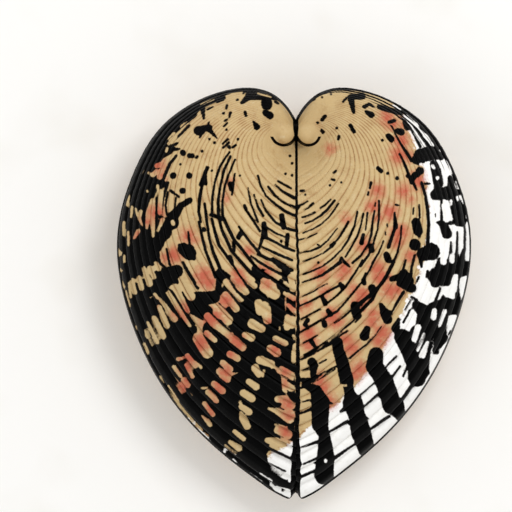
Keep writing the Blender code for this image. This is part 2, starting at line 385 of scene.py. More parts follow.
# Dark marks of the right half.
RIGHT_MARKS = (
    (1, 0.7, 335.5, 171.3, 333, 173.2), (1, 1, 331.5, 179.7, 334, 180.2),
    (1.8, 1.8, 377.5, 168.5, 381, 171.5), (1.3, 0.8, 370.7, 183, 369.2, 188.5),
    (0.9, 0.9, 367.8, 192.5, 367.3, 195), (0.9, 0.9, 300.5, 191, 304, 191), (2, 1, 297, 208, 300, 205.5),
    (0.8, 0.6, 300, 205.5, 303, 204, 307.5, 201.3), (0.5, 0.9, 303, 210.5, 308, 208, 313, 203.5),
    (0.6, 0.8, 302, 217.5, 308, 215.8, 314.5, 212.5),
    (0.5, 1, 305, 223.5, 312, 221, 320, 216, 327, 210, 334, 201),
    (0.9, 0.5, 320, 208, 325, 205, 330.5, 199.5),
    (0.5, 0.8, 303, 233, 312, 229.5, 320, 225, 328, 218, 334, 210, 338, 204),
    (0.6, 0.5, 299, 240, 308, 237.5, 317, 233.5),
    (0.8, 0.5, 298, 253, 310, 251, 320, 247, 328, 240, 337, 228.5), (0.5, 0.5, 317, 244.5, 319, 245.5),
    (0.5, 0.9, 303, 261.5, 313, 258, 323, 253, 332, 246, 340, 236, 348, 222), (2, 1.6, 331, 246, 334, 243),
    (0.6, 0.9, 326, 264, 333, 258, 341, 250, 348, 240, 354, 226, 357, 212),
    (0.8, 0.7, 363, 214, 360, 227, 356, 238, 351, 247, 345, 257), (0.8, 0.4, 367, 213, 366, 222, 365, 230),
    (0.8, 0.9, 374, 211, 372, 222, 371, 234, 368, 244, 360, 256, 352, 263),
    (0.8, 1, 378.5, 201, 378.5, 215, 377, 230, 373, 243, 368, 255, 360, 266),
    (0.6, 0.9, 383, 241, 378, 253, 372, 263), (1.6, 2.2, 363, 235, 361, 243),
    (2.5, 2.8, 370.5, 246, 371, 250), (1.3, 1, 341, 258, 344, 262), (1.3, 1, 341, 258, 339, 263),
    (0.5, 0.5, 386.5, 224, 387, 227), (0.4, 0.4, 375, 203, 374.5, 206.5), (0.4, 0.4, 385, 232, 385, 235),
    (0.5, 0.7, 303, 274.3, 312, 271, 322, 266.5, 331, 260),
    (0.6, 1.6, 302, 282.5, 312, 279, 322, 275, 332, 268, 340, 262), (1.3, 1, 344, 262, 349, 266.5),
    (0.4, 0.6, 302, 296, 312, 292, 320, 287, 327, 283.5),
    (0.8, 1, 300, 305.5, 310, 301, 320, 296, 330, 290, 337, 286.5, 340, 285),
    (1.8, 2.2, 340, 284, 342, 287), (0.7, 0.9, 301, 319, 312, 313, 320, 309),
    (0.8, 0.8, 324, 305, 335, 297, 345, 287, 355, 272, 362, 260),
    (0.9, 0.8, 299, 332.5, 310, 326, 325, 317.5, 337, 311, 345, 302, 355, 290, 362, 281, 369, 270, 373, 262),
    (0.6, 0.9, 334, 323, 345, 315, 352, 308), (4.2, 4.6, 354.5, 305.5, 356.5, 315),
    (1.8, 1.3, 360, 311, 366, 304.5, 372, 299, 376, 290, 384, 280, 390, 267),
    (0.6, 0.8, 305, 354.5, 318, 346.5, 330, 338, 341, 330, 350, 323, 356, 318),
    (0.6, 0.7, 301, 359.5, 312, 354, 322, 347, 331, 341, 340, 335, 347, 330.5),
    (0.5, 0.5, 303, 342.5, 317, 335), (1, 0.5, 311, 380, 320, 374, 330, 369, 336, 366),
    (0.5, 0.5, 313, 382, 325, 375, 335, 368.5), (0.5, 0.5, 302, 371, 310, 368.5),
    (0.5, 0.5, 319, 363, 326, 359), (0.7, 0.4, 349, 358, 358, 350, 366, 344.5, 375, 335, 381, 326),
    (0.5, 0.5, 355, 322, 358, 319), (1.6, 2.6, 322, 297, 325, 303), (2, 2.6, 328, 310.5, 330, 314),
    (2.2, 1.8, 307.5, 319.5, 304.5, 324), (1.6, 1, 306, 325, 307.5, 328),
    (2.6, 2.6, 323.8, 322.5, 324.4, 325), (2, 1.4, 311, 341, 314.5, 346),
    (3.2, 4.8, 366.5, 329, 364, 335.5), (3.6, 3.6, 371.3, 288, 371.7, 289), (2, 0.8, 373, 292, 370, 297),
    (2.2, 2.2, 363, 280, 363.5, 283), (0.6, 2, 365, 273, 363.5, 279), (1.6, 4.4, 380, 304, 384, 312),
    (4.4, 4.6, 384, 312, 387, 319), (4.6, 4.2, 312, 362, 313.5, 365), (3.6, 2.6, 313.5, 365, 313, 376),
    (5, 6.8, 337, 342, 338, 350, 341.5, 360, 344, 370, 346.5, 381), (0.9, 1, 300, 359.5, 331, 343),
    (0.9, 0.8, 304, 354.5, 327, 341.5), (0.7, 1, 302, 370.5, 310, 367), (2, 2.5, 302, 379.5, 310, 380),
    (2, 0.6, 325, 401, 332, 403), (1.5, 3, 341, 411, 346, 408), (2, 0.6, 360, 418, 368, 418),
    (5, 3, 385, 314, 389, 313), (0.9, 1.1, 409, 127, 419, 143), (0.7, 0.8, 398, 106, 432, 132),
    (4.5, 4.5, 446, 310, 456, 310), (5, 6, 440, 312, 441, 330), (3, 3.5, 445, 316, 447, 332),
    (0.9, 1.1, 441, 200, 441, 222), (3.2, 4.2, 451, 198, 458, 222), (4, 4, 434, 272, 436, 283),
    (3.5, 3.5, 433, 280, 434, 283.5), (1.5, 3, 439, 259, 437, 268), (0.7, 1.4, 465, 225, 465, 262),
    (0.9, 0.9, 359, 396, 374, 383), (0.9, 1.4, 414, 255, 411, 268, 410, 280),
    (0.8, 0.8, 405, 260, 402, 272), (1.4, 0.8, 403, 292, 396, 303, 391, 313),
    (0.6, 0.6, 410, 300, 404, 310), (1.6, 1.6, 322, 120, 325, 116.5), (1.2, 1.4, 321.5, 130.5, 323, 132.5),
    (1.1, 1.1, 339, 136.5, 338, 139.5), (1.3, 0.5, 310, 101, 315, 99.5), (2.6, 3.2, 350, 97.5, 362, 96.5),
    (3.2, 1.3, 351, 100, 353.5, 113), (0.9, 0.8, 343, 102, 346.5, 98), (1.8, 1.5, 364, 107, 369, 104.5),
    (1.4, 0.8, 369, 104.5, 373.5, 107), (1.5, 3, 366, 112, 371, 115), (1.8, 1.5, 350, 126, 354, 132),
    (2.6, 3, 388, 136.5, 391, 139.5), (2.9, 3.2, 397.5, 131.5, 401, 132.5),
    (2.2, 3.2, 404.5, 122.5, 407, 127.5), (1.6, 1.6, 389, 122.5, 394, 121), (2.2, 2.6, 379, 107, 388, 110),
    (2.6, 2.2, 388, 110, 400, 113), (1.5, 1, 400, 113, 404, 121), (0.6, 1.4, 391, 126, 399, 142, 411, 161),
    (0.7, 1.6, 399, 154, 403, 162, 407, 172, 411, 183), (6.8, 7, 420, 156, 432, 153),
    (4.2, 4, 415.5, 160, 420, 162), (6.5, 3.2, 432, 153, 440.5, 157), (3.2, 4.5, 433, 164, 437, 182),
    (2.5, 3, 437, 166, 440, 184), (3, 3.8, 413, 177, 419.5, 171), (2, 2, 407.5, 176, 412, 179.5),
    (1.4, 0.8, 411, 180, 416, 190), (1, 1.3, 411, 130, 420, 147), (1, 1.8, 409, 121, 418, 132, 428, 146),
    (1.6, 3.2, 425, 130, 436, 147), (1.2, 2.8, 402, 111, 413, 119, 426, 131, 438, 146),
    (0.9, 0.7, 424, 184, 429, 184), (1.2, 1.5, 421, 183, 425, 196, 427, 210, 428.2, 224, 427, 246),
    (2.6, 3.5, 435.5, 180, 437, 188), (2.4, 4, 450, 178, 451, 188), (5.2, 5.6, 435, 195, 446, 193),
    (6.4, 7.5, 446, 193, 460, 198), (8.2, 6.6, 459, 200, 463, 216), (4.5, 4.8, 456, 213, 461, 222),
    (1.2, 1.6, 437, 222.5, 451, 223), (4, 4.8, 443, 226, 446.5, 234), (0.6, 1.6, 450.5, 242, 450, 256),
    (1.6, 2.4, 450, 256, 447.5, 264), (0.7, 1.2, 457, 232, 456.5, 250), (1.2, 2.6, 456.5, 250, 454, 263),
    (0.8, 1, 464.5, 226, 464.5, 250), (1.6, 3, 463.5, 250, 460, 263), (0.5, 0.5, 435, 214, 435, 217),
    (5.4, 5.4, 414, 244.5, 414.5, 245), (6.6, 8.2, 423, 254, 431, 252), (4, 4, 431, 247, 434, 250),
    (5.6, 8.6, 432.5, 276, 444, 274), (3.4, 4.6, 438, 267, 450, 268), (5.2, 6.8, 450, 268, 462, 268),
    (6.4, 6, 462, 268, 466, 269), (4.6, 3.6, 440, 281, 447, 282), (1.2, 1, 427, 271, 426, 277),
    (0.7, 0.6, 418, 277, 416, 282), (2.2, 4, 391, 279, 402, 276), (4.2, 5.2, 403, 273.5, 408, 281),
    (4, 4.6, 400, 283, 411, 288), (0.7, 0.6, 398, 205.5, 395, 205), (0.7, 0.6, 413, 208, 412.5, 214),
    (0.7, 1, 418.5, 205, 419, 218), (3.2, 3.4, 386, 255, 387.5, 259), (1.6, 1.4, 387, 261, 393, 262),
    (0.6, 2.3, 394, 213, 395, 227), (1.2, 1.8, 394, 229, 388, 247),
    (0.6, 0.9, 401, 226, 400, 238, 397, 252, 393, 262),
    (1.2, 2, 393, 262, 389, 270, 383, 281, 375, 291, 360, 303), (7, 8.6, 375.5, 354, 374, 366),
    (8.4, 8.4, 374, 366, 385, 382), (8.2, 7.8, 385, 382, 390, 395), (0.8, 0.7, 385, 367, 396, 356),
    (1, 0.7, 391, 378, 400, 366), (1, 1.2, 403, 376, 409, 362), (1.2, 1, 361, 304, 352, 312),
    (1.3, 0.6, 411, 297, 417, 300), (1, 1.4, 440, 288, 431, 312), (2.4, 5.4, 304, 384, 316, 390),
    (5.4, 9.2, 316, 390, 320, 402), (9, 8, 320, 402, 320, 424), (7.4, 5.2, 320, 424, 324.5, 436),
    (5.6, 8.4, 324.5, 436, 325.5, 455), (8.4, 9.4, 325.5, 455, 324, 475), (4.6, 4.8, 346, 372, 349, 392),
    (4.8, 10, 349, 392, 352.5, 403), (9.8, 8.2, 352.5, 403, 357, 416), (8.4, 10, 357, 416, 361, 432),
    (9.6, 8.2, 361, 432, 366, 448), (6.8, 7.8, 377, 370, 387, 392), (7.8, 10, 387, 392, 392, 404),
    (8.6, 3.2, 392, 404, 399, 417), (0.8, 1.3, 326, 433.5, 347, 421), (1.5, 1, 334, 458, 356, 443),
    (1, 0.9, 361, 409, 381, 391), (1.2, 1.3, 366, 432, 389, 416), (1.2, 1.5, 300, 412.5, 313, 408),
    (0.6, 0.9, 300, 401.5, 310, 399.5), (0.9, 0.4, 310, 399.5, 318, 398), (0.8, 0.8, 300, 387.5, 305, 386),
    (0.7, 1.3, 301, 447, 318.5, 441), (0.5, 1.3, 303, 464, 317, 458), (1.2, 1, 300, 477, 318, 469),
    (1.5, 4, 398, 319, 395, 328), (4.5, 7.5, 416, 305, 424, 312), (7, 7.5, 424, 312, 434, 326),
    (7.5, 7, 434, 326, 441, 337), (7, 3.5, 440, 338, 437, 347), (3, 5.5, 431, 306, 446, 303),
    (5.5, 5, 446, 303, 457, 306), (0.8, 3, 443, 296, 443, 302), (1.6, 3, 457, 286, 457.5, 303),
    (4.5, 5, 421, 315, 420, 331), (7, 8, 425, 329, 424, 348), (2.6, 4, 413.5, 329, 408, 342),
    (8, 6, 424, 344, 423, 366), (8, 8, 402, 337, 409, 350), (8, 8.5, 409, 350, 415, 364),
    (8.5, 8.5, 415, 364, 417, 378), (8, 4.5, 417, 378, 425, 372), (0.8, 0.8, 410, 309, 403, 322),
    (0.7, 1.4, 459.5, 274, 456.5, 290), (0.8, 0.8, 467.5, 280, 465.5, 292),
    (0.8, 0.8, 464, 297.5, 462.5, 299), (4.4, 4.8, 415.5, 222.5, 417.5, 231),
    (4.4, 1.2, 417.5, 231, 419, 237), (4.4, 3.4, 432, 248, 436, 253), (2.6, 0.7, 420, 257, 421, 267),
    (5.5, 5, 448, 266, 467, 266), (6, 4.5, 460, 271, 466, 271), (0.6, 2, 436, 222.5, 441, 225),
    (1.8, 1.6, 413, 384, 402, 399), (2.6, 3, 400, 400, 402, 412),
)
RIGHT_SPOTS = (
    (305, 195, 1), (329.5, 185.5, 1.2), (341, 182.7, 1.1), (387, 173.7, 1.4), (318, 262.5, 1.1),
    (317.5, 123, 1.2), (336.5, 128.5, 1.1), (382, 140.5, 1), (396.5, 178.5, 1.8), (322, 97.5, 0.9),
    (331, 94.5, 0.9),
)
# Light windows in them, and dark marks over those.
RIGHT_WINDOWS = (
    (1.4, 0.9, 339, 385.5, 346, 385), (2.8, 2.8, 443, 258, 443, 262), (2.2, 2.2, 451.5, 256, 451.5, 261),
    (2.2, 2.6, 434, 310.5, 433, 317.5), (2, 1.1, 444.5, 311, 439, 326), (3.6, 1.1, 451.5, 318.5, 446, 334),
    (3, 2.6, 417.5, 327, 414, 339), (1.5, 1.5, 424, 334, 417, 350), (1.9, 3.1, 427.5, 343, 422, 355.5),
    (3.2, 1.1, 434, 351, 430, 367), (1.3, 1.4, 439.5, 349.5, 435, 360), (0.8, 0.8, 443, 201, 447, 201.3),
    (1.2, 1.4, 450.5, 201, 450.5, 204), (1, 1, 457, 197, 457.5, 200), (1.6, 0.8, 461, 193, 463, 203),
    (1.1, 1.1, 467, 214, 467, 218), (2.8, 3.2, 444, 206, 446.5, 219), (1.4, 1.4, 432, 166, 433.5, 168),
    (1, 1, 438, 163, 439, 168), (1.6, 1.8, 410, 165, 413, 170), (1.8, 1.8, 420.5, 165.5, 424, 165.5),
    (1.9, 0.9, 424.5, 135.5, 432.5, 145.5), (1, 1.2, 414.5, 133, 422.5, 144),
    (1.2, 1.5, 406, 116.5, 417, 126), (1.6, 2.4, 456, 276, 454, 290), (1.3, 1.3, 325.5, 460, 325.5, 461),
    (1, 1, 401, 116, 409, 120), (1.5, 1.5, 437, 178, 437, 178.5),
)
RIGHT_LATE_MARKS = (
    (3.1, 3.1, 435, 350, 436, 352),
)
# Dark marks of the left half. Along the upper left rim the broad ones are partly painted shade, partly the
# shell's own bands.
LEFT_MARKS = (
    (1, 1.7, 176.5, 156, 170, 164, 164, 178, 160, 190), (1.6, 1.3, 160, 190, 157.5, 205),
    (8.5, 8.5, 140, 301, 153, 311), (2, 1.2, 160, 178, 163, 183), (9.4, 7.6, 148, 163, 163, 146),
    (4.4, 3.4, 158, 156, 170, 151), (5, 0.7, 160, 150, 180, 149.3), (6.4, 6, 152, 150, 166, 134),
    (4.4, 4, 152, 184, 162, 184), (6.4, 6.4, 166, 134, 182, 119), (6.8, 6.2, 182, 119, 191, 113),
    (0.8, 1.3, 193, 112, 205, 106), (1.3, 1, 205, 106, 215, 101.5), (2.8, 2.6, 218, 100.3, 223, 98),
    (1, 0.5, 208, 109.5, 213, 107), (2.4, 1.1, 202.5, 108, 204, 118.5), (4.4, 4.6, 198.5, 131, 200.5, 131),
    (3.6, 2.4, 200, 130, 210, 127.5), (1, 0.6, 208.5, 127, 209, 122.5), (2.8, 0.5, 208, 128.5, 217, 138.5),
    (1.1, 0.5, 202, 134, 200, 138), (1, 0.9, 173, 141, 181, 134.5), (0.9, 1.4, 181, 134.5, 189, 126),
    (1.4, 0.9, 172, 146, 178, 143.5), (2.8, 2.8, 183, 153, 183.3, 153.3),
    (2.2, 2.2, 189.5, 156, 192.5, 156.2), (1, 1, 196.5, 158, 197.5, 156.8), (1.4, 3.8, 242, 103, 250, 96),
    (4.4, 3.4, 250, 95.5, 264, 97), (2.2, 1.1, 264, 97, 279, 99.5), (5.4, 5.2, 266.5, 103, 266.8, 105),
    (1, 1, 275.5, 102, 278, 103.5), (3, 3.4, 265.5, 113, 270, 115.8), (1.4, 1.2, 245, 112.5, 246, 116),
    (0.9, 3, 253.5, 122, 256.7, 127), (1, 1, 227, 105.5, 226.5, 109), (1.2, 1, 230.5, 113, 229.5, 117),
    (0.9, 0.9, 225, 121, 227, 120), (0.7, 0.7, 224, 126.5, 227, 123.5), (0.9, 0.9, 223, 144, 228, 139.5),
    (0.9, 0.9, 223, 148, 229, 143), (1.4, 1.2, 229, 147, 229.5, 148), (0.9, 0.8, 233, 147.5, 236, 145.5),
    (1.6, 1.6, 207.5, 168, 204.5, 175), (1.6, 1.8, 204.5, 175, 201, 185), (1.2, 0.6, 246, 91, 243, 94),
    (15, 12, 147, 176, 140, 200), (12, 12, 140, 200, 131, 225), (10, 8, 148, 230, 164, 228),
    (15, 15, 132, 240, 150, 240), (14, 8, 150, 240, 164, 232), (16, 10, 138, 258, 150, 256),
    (6, 9, 123, 262, 136, 270), (5, 4, 126, 275, 132, 290), (7, 7, 161, 228, 172, 222.5),
    (5.4, 3.4, 173, 217, 180, 208), (2.8, 2.8, 181, 206, 190, 200.5), (9, 10, 133, 295, 164, 278),
    (10, 6, 164, 278, 177, 271), (5, 3, 172, 276, 176, 282), (3.6, 3, 220, 272, 223, 278),
    (2, 3.5, 218.5, 279, 219, 292), (3.5, 2.6, 256, 272, 259, 282), (2, 1.6, 230, 257, 232, 263),
    (1.6, 1.4, 234, 242, 234, 251), (0.7, 1, 188.5, 232, 190, 244), (0.8, 0.5, 198, 285, 202, 280.5),
    (0.9, 0.9, 167, 249, 170, 265), (5.8, 6.6, 183.5, 249, 190, 253.5), (5, 2.4, 190, 250, 194, 258),
    (1.8, 2, 180, 245.5, 183, 247), (4.6, 5.4, 221, 274, 231, 283), (2, 4, 216, 274, 222, 279),
    (1.2, 1.4, 157, 198, 157, 224), (1.6, 1.2, 156, 216, 163, 218),
    (1.4, 0.9, 168, 183, 163, 200, 161, 215), (1, 0.8, 168, 193, 166, 205, 167, 215),
    (1.2, 0.8, 171, 191, 179, 197), (0.9, 0.9, 176, 198, 175, 212),
    (1.5, 1, 203, 182, 200, 198, 199, 212, 201, 222), (1.6, 1.6, 205, 176, 206, 184),
    (1.2, 1.4, 183, 262, 190, 275, 198, 288),
    (1.1, 1.5, 205, 204, 207.5, 225, 209.5, 238, 213.5, 252, 217.5, 262, 221, 271),
    (1, 1.4, 199, 222, 203, 240, 206, 251, 210.5, 263, 216, 277), (1.9, 1.9, 204, 229, 204.5, 230),
    (0.8, 1, 229.5, 152.5, 220.5, 166, 215, 182, 212.5, 198, 212, 216),
    (1.1, 1.2, 230.5, 157, 224, 171, 220.5, 186, 218.5, 201, 218.5, 216),
    (0.9, 1.1, 235, 160, 229, 174, 224.5, 188, 222.5, 202, 223, 218), (1.8, 1.8, 211.5, 215, 223, 219),
    (0.8, 0.8, 235, 174, 232, 195), (2.4, 2.2, 230.5, 184.5, 231.5, 189),
    (1.2, 1.3, 212, 219, 215, 232, 219, 245, 224, 252, 231, 262),
    (1.3, 1.6, 219, 218, 222, 230, 227, 241, 231, 250, 236, 256, 243, 264, 251, 273, 258, 279),
    (1.5, 1.4, 224, 219, 229, 230, 234, 240, 241, 248, 248, 257, 256, 267),
    (0.6, 0.9, 248, 188, 251, 204, 258, 222), (0.7, 1, 254, 195, 258, 207, 263, 216),
    (0.9, 1.1, 258, 176, 260.5, 186, 266, 196, 276, 205, 286, 212, 295, 216),
    (0.9, 1.3, 268, 187, 275, 196, 284, 203, 296, 208), (0.8, 1.3, 275, 185, 283, 192, 294, 198),
    (0.7, 0.8, 278, 181.5, 291, 188.5), (1.4, 1.6, 244.5, 206, 246, 210),
    (1.1, 1.1, 246, 210, 252, 219, 260, 231), (0.8, 1.1, 261, 200, 266, 211, 275, 222, 285, 228, 296, 231),
    (0.8, 0.7, 265, 226, 275, 233, 286, 237.5), (2.3, 2.6, 281.5, 216, 283.5, 227),
    (2.4, 3, 264, 224, 264.5, 236), (1.6, 0.9, 262, 239, 259, 249), (2, 2.4, 238.5, 237.5, 240.5, 234),
    (0.9, 1.2, 239, 227, 249, 241, 260, 254), (1.1, 1.1, 264, 237, 273, 241, 284, 247, 294, 251),
    (1.9, 1.8, 287.5, 235, 286.5, 246), (0.9, 1.1, 262, 247, 275, 253, 292, 260),
    (1.2, 1.6, 258, 254, 268, 259, 274, 260), (2.2, 3.4, 273, 259.5, 283, 267),
    (4.2, 3.8, 286, 270.5, 286, 277), (2, 1.4, 283, 268, 292, 270), (3.4, 5.4, 255, 269, 261, 277),
    (2.4, 3.4, 258, 281, 263, 272), (4.2, 4, 276.5, 377, 278, 390), (2.5, 3, 273, 371, 276, 376),
    (6, 8, 130, 292, 146, 335), (9, 9, 146, 335, 180, 392), (7, 7, 180, 392, 205, 422),
    (8, 8, 205, 422, 240, 462), (7, 4, 240, 462, 270, 482), (2.6, 2.6, 262, 475, 275, 482),
    (2.6, 2.2, 275, 482, 291, 487), (2, 2, 264, 478, 272, 487), (12, 12, 150, 325, 175, 345),
    (12, 12, 165, 300, 185, 330), (9, 8, 185, 300, 205, 312), (12, 12, 160, 355, 190, 345),
    (8, 6, 195, 300, 214, 297), (12, 12, 180, 365, 200, 385), (12, 12, 195, 345, 215, 360),
    (12, 12, 212, 375, 235, 400), (12, 12, 205, 395, 225, 425), (12, 12, 215, 330, 235, 360),
    (12, 12, 235, 345, 255, 375), (12, 12, 240, 385, 262, 420), (12, 12, 228, 420, 255, 450),
    (11, 12, 235, 315, 255, 345), (7, 10, 240, 298, 262, 315), (6, 8, 228, 290, 240, 312),
    (9, 10, 250, 300, 275, 335), (11, 10, 262, 340, 285, 360), (11, 10, 262, 375, 272, 400),
    (10, 10, 265, 400, 275, 430), (9, 9, 262, 425, 258, 462), (6, 7, 268, 310, 276, 330),
    (5, 5, 276, 360, 290, 358), (4, 6, 256, 290, 262, 300), (3, 5, 281, 290, 280, 320),
    (5, 5, 284, 330, 290, 345), (4.5, 4.5, 291, 283, 291, 300), (4.5, 4.5, 291, 300, 290, 330),
    (5, 4.5, 290, 330, 291, 368), (4, 3.5, 291, 368, 291, 400), (3.5, 3, 291, 400, 291, 442),
    (5, 6, 273, 300, 281, 316), (8, 5, 281, 352, 289, 356), (5, 2, 276, 392, 286, 396),
    (2, 1, 277, 404, 285, 414), (5, 2, 274, 418, 286, 424), (2.5, 1.2, 274, 434, 290, 444),
    (6, 4, 262, 462, 268, 478), (4, 5, 258, 284, 262, 292), (4, 5, 246, 288, 254, 296),
    (4, 5, 280, 283, 284, 292), (2, 1, 262, 276, 270, 278),
)
LEFT_SPOTS = (
    (209.5, 139.3, 1.2), (214.5, 143, 1.3), (202.3, 151.5, 1.2), (180.5, 164.5, 1), (173.5, 176, 3.1),
    (189.5, 176, 2.8), (212, 171, 1.1), (223.5, 113.5, 1.3), (237.5, 100, 1.1), (226.5, 130, 1.1),
    (238, 139.5, 1), (290, 156, 1.1), (292, 163.5, 1.2), (285.5, 174, 1.1), (292, 175.5, 1.2),
    (183, 191, 2.9), (281, 241.5, 1.3), (240, 176, 0.9), (282.5, 491, 1.1),
)
LEFT_WINDOWS = (
    (2.5, 2, 268, 308, 269.5, 321), (0.9, 0.9, 160.5, 376.5, 163, 383), (0.9, 1.6, 168.5, 386, 177.5, 401),
    (1.2, 1.4, 144, 343.5, 148, 353), (1.4, 1.4, 150.5, 339, 153.5, 345.5),
    (1.6, 1.6, 146.5, 329.5, 147.5, 336), (0.9, 1.9, 147.5, 322, 157.5, 342),
    (2.4, 3, 154.5, 318, 163, 336), (2.2, 2.4, 159.5, 307, 167.5, 326), (1.4, 1.7, 160, 299, 168, 309),
    (1.7, 2.9, 168, 309, 175, 319), (2.2, 2, 168.5, 292.5, 180, 311), (2, 1.1, 180, 311, 190, 325.5),
    (3, 2, 175.5, 287, 188, 311), (3.4, 4, 183, 284, 191.5, 296), (1.3, 1.3, 155, 294, 158, 298),
    (0.7, 0.7, 126, 291, 130, 306), (0.9, 0.9, 129, 283, 131, 297), (1.3, 1.2, 133, 281, 136, 293),
    (2, 2.4, 139.5, 278, 141.5, 288), (2.8, 2.2, 149, 280, 149.5, 284.5),
    (5.2, 5.6, 198, 338, 207.5, 352.5), (2.8, 2.2, 207, 333, 215, 340), (3.6, 4.2, 208, 316, 214, 322),
    (4.4, 3.6, 214, 322, 230, 335), (4, 4.6, 219, 309, 228, 320), (3.2, 3.4, 225.5, 295, 236, 308.5),
    (2.1, 2.5, 187.5, 355.5, 195.5, 365.5), (1.9, 1.9, 186.5, 364.5, 192.5, 376.5),
    (1.7, 1.3, 174, 366.5, 181, 376), (1.6, 1, 178, 359, 183, 358), (1, 2.8, 171.5, 375, 183, 391),
    (2.2, 2.2, 184.5, 380.5, 187.5, 385.5), (3, 3.6, 219.5, 371, 226.5, 377),
    (2.8, 3, 223, 362.5, 230, 368.5), (2.8, 3, 214, 383.5, 222.5, 390.5), (2.4, 2.6, 222, 375, 228, 379.5),
    (0.6, 0.6, 196, 325, 202, 322.5), (0.8, 0.8, 136, 326, 136.5, 330), (5, 3.6, 205, 281, 212, 285.5),
    (3.4, 3.4, 200, 283, 206, 287), (3, 3.6, 226.5, 282, 241, 298), (2.8, 3.4, 233.5, 278, 246, 291.5),
    (2.6, 2.6, 245, 276.5, 254.5, 286), (5.6, 5.4, 265.5, 287, 274.5, 293.5), (3, 4, 264, 281, 266, 284),
    (1.4, 2.4, 288, 304.5, 295, 311.5), (1.8, 2.4, 285, 293, 293.5, 298), (3, 3.2, 290.5, 277, 293, 288),
    (1.2, 1.4, 284.5, 282.5, 290, 286), (2, 2.4, 263, 264, 279, 271.5),
    (1.8, 2.2, 265.5, 272.5, 277, 278.5), (3.8, 3.8, 258.5, 303, 260, 311), (4.4, 3.6, 264, 306, 267, 320),
    (2.6, 3, 287.5, 317, 287, 327), (3.6, 3, 292, 319.5, 291.5, 325), (4.4, 3.6, 252, 323.5, 261.5, 328.5),
    (2.8, 3.4, 245, 334.5, 251.5, 337.5), (0.8, 0.8, 279.5, 327, 279.5, 329.5),
    (2.6, 2.8, 275.5, 338, 285, 343), (3.5, 4.4, 270.5, 348, 276.5, 352), (1, 1.1, 293, 335, 294.5, 338.5),
    (1.1, 2.1, 294.5, 344.5, 293.5, 352), (2.1, 2, 293.5, 352, 293.5, 360.5),
    (3.8, 3.6, 260, 359.5, 271, 363.5), (3.8, 3, 255, 367.5, 259, 374), (1.1, 0.9, 264, 370, 263, 376),
    (2.2, 3.6, 281.5, 368, 291, 375), (2, 2, 292, 375, 292, 378), (4, 3.6, 233.5, 339, 243, 347),
    (3.2, 3.2, 230, 354, 237.5, 358), (3, 3.2, 286, 384, 291.5, 388), (2.6, 3.4, 249, 381, 256, 386),
    (3.5, 3.6, 243.5, 392.5, 252, 398), (1.4, 1.4, 240, 401, 241, 404),
    (2.7, 3.2, 241.5, 406.5, 249, 411.5), (3.5, 3.3, 243, 417.5, 247, 426),
    (2, 2.2, 234.5, 431, 243.5, 438.5), (2, 3.2, 230, 442, 239, 448), (0.5, 0.5, 225, 445, 236, 454),
    (1.4, 1.2, 224.5, 450.5, 225, 452), (2.6, 2.2, 208, 392, 216.5, 400.5),
    (0.9, 0.9, 202, 388, 207, 387.5), (2.2, 2, 204.5, 403, 213, 414.5),
    (1.2, 2.2, 202.5, 415.5, 210, 424.5), (0.9, 2.2, 187, 415.5, 200.5, 430),
    (0.9, 0.9, 204, 433, 208, 436), (2.4, 2.4, 184, 379.5, 188, 385), (2.2, 2, 180.5, 384.5, 184, 391),
    (3, 4, 277.5, 398.5, 285, 399), (4.2, 3.4, 285, 400, 291, 405), (0.9, 3.2, 268, 408, 278, 411),
    (3.4, 4.2, 278, 411, 289.5, 418.5), (2, 3.4, 288, 408, 291.5, 414), (3, 4.4, 277, 430, 287.5, 434),
    (0.8, 2.4, 275, 423.5, 283, 428), (2.6, 4.2, 267.5, 440, 276, 441.5), (3.2, 3.2, 279, 443, 291, 451),
    (1, 2, 280, 438.5, 291, 443), (0.7, 0.7, 233, 459, 238, 465), (0.5, 0.6, 238, 465, 262, 482),
    (0.6, 0.6, 260, 473, 272, 480.5), (2.2, 3.4, 269.5, 454, 273, 459), (1.6, 2.4, 271, 468, 289, 481),
    (1.3, 1.3, 270.5, 484.5, 275, 488), (1.6, 1.9, 279, 490, 288, 493), (1.3, 1.1, 129, 196, 127.5, 205),
    (1.1, 1.1, 132.3, 207, 131.5, 217), (0.8, 0.8, 136, 209, 137.5, 215),
    (1.6, 1.5, 141, 211.5, 139.5, 218), (1.4, 0.6, 139.5, 218, 143, 226), (1.1, 1.1, 124, 222.5, 124, 235),
    (1, 1, 128.5, 232, 128.5, 245), (1.3, 2, 134.5, 238, 138.5, 231), (1, 1, 124.5, 256, 124.5, 262),
    (1, 1, 147.5, 191, 147.8, 192), (1.3, 1.2, 158, 186, 158.5, 192), (1, 1, 134, 184, 134.3, 185),
    (2.3, 2.6, 153, 201, 149, 213), (2.2, 1, 148.5, 213, 147, 228), (2.2, 1.3, 153, 214, 153.3, 236),
    (2.4, 1.8, 161.3, 192, 160, 213), (0.8, 1.9, 158.2, 231, 163, 219.5), (1.7, 1.7, 173, 222, 173.5, 224),
    (1, 1, 133, 279, 134, 286), (2, 2.8, 144, 268.5, 150, 283.5), (2.4, 2, 150, 268.5, 154.5, 277),
    (1.3, 1.9, 156, 263, 159.5, 269), (0.8, 0.7, 166, 136, 172, 129.5), (0.7, 0.7, 168, 139, 174, 133),
    (1.2, 1.4, 169, 144, 176, 137), (0.7, 0.7, 181, 127, 187, 121), (1, 1, 166.5, 151.5, 167.5, 148.5),
    (2.2, 2.6, 157, 166, 161, 165), (2.4, 2.2, 157, 172, 153, 175), (0.9, 1.6, 148.5, 173, 153, 175),
    (2, 2.6, 160.5, 171, 160, 177), (1, 1.4, 137, 176, 140.5, 170.5), (0.7, 0.7, 143, 176, 145, 171),
    (0.7, 0.6, 258, 93.5, 271, 97.3),
)
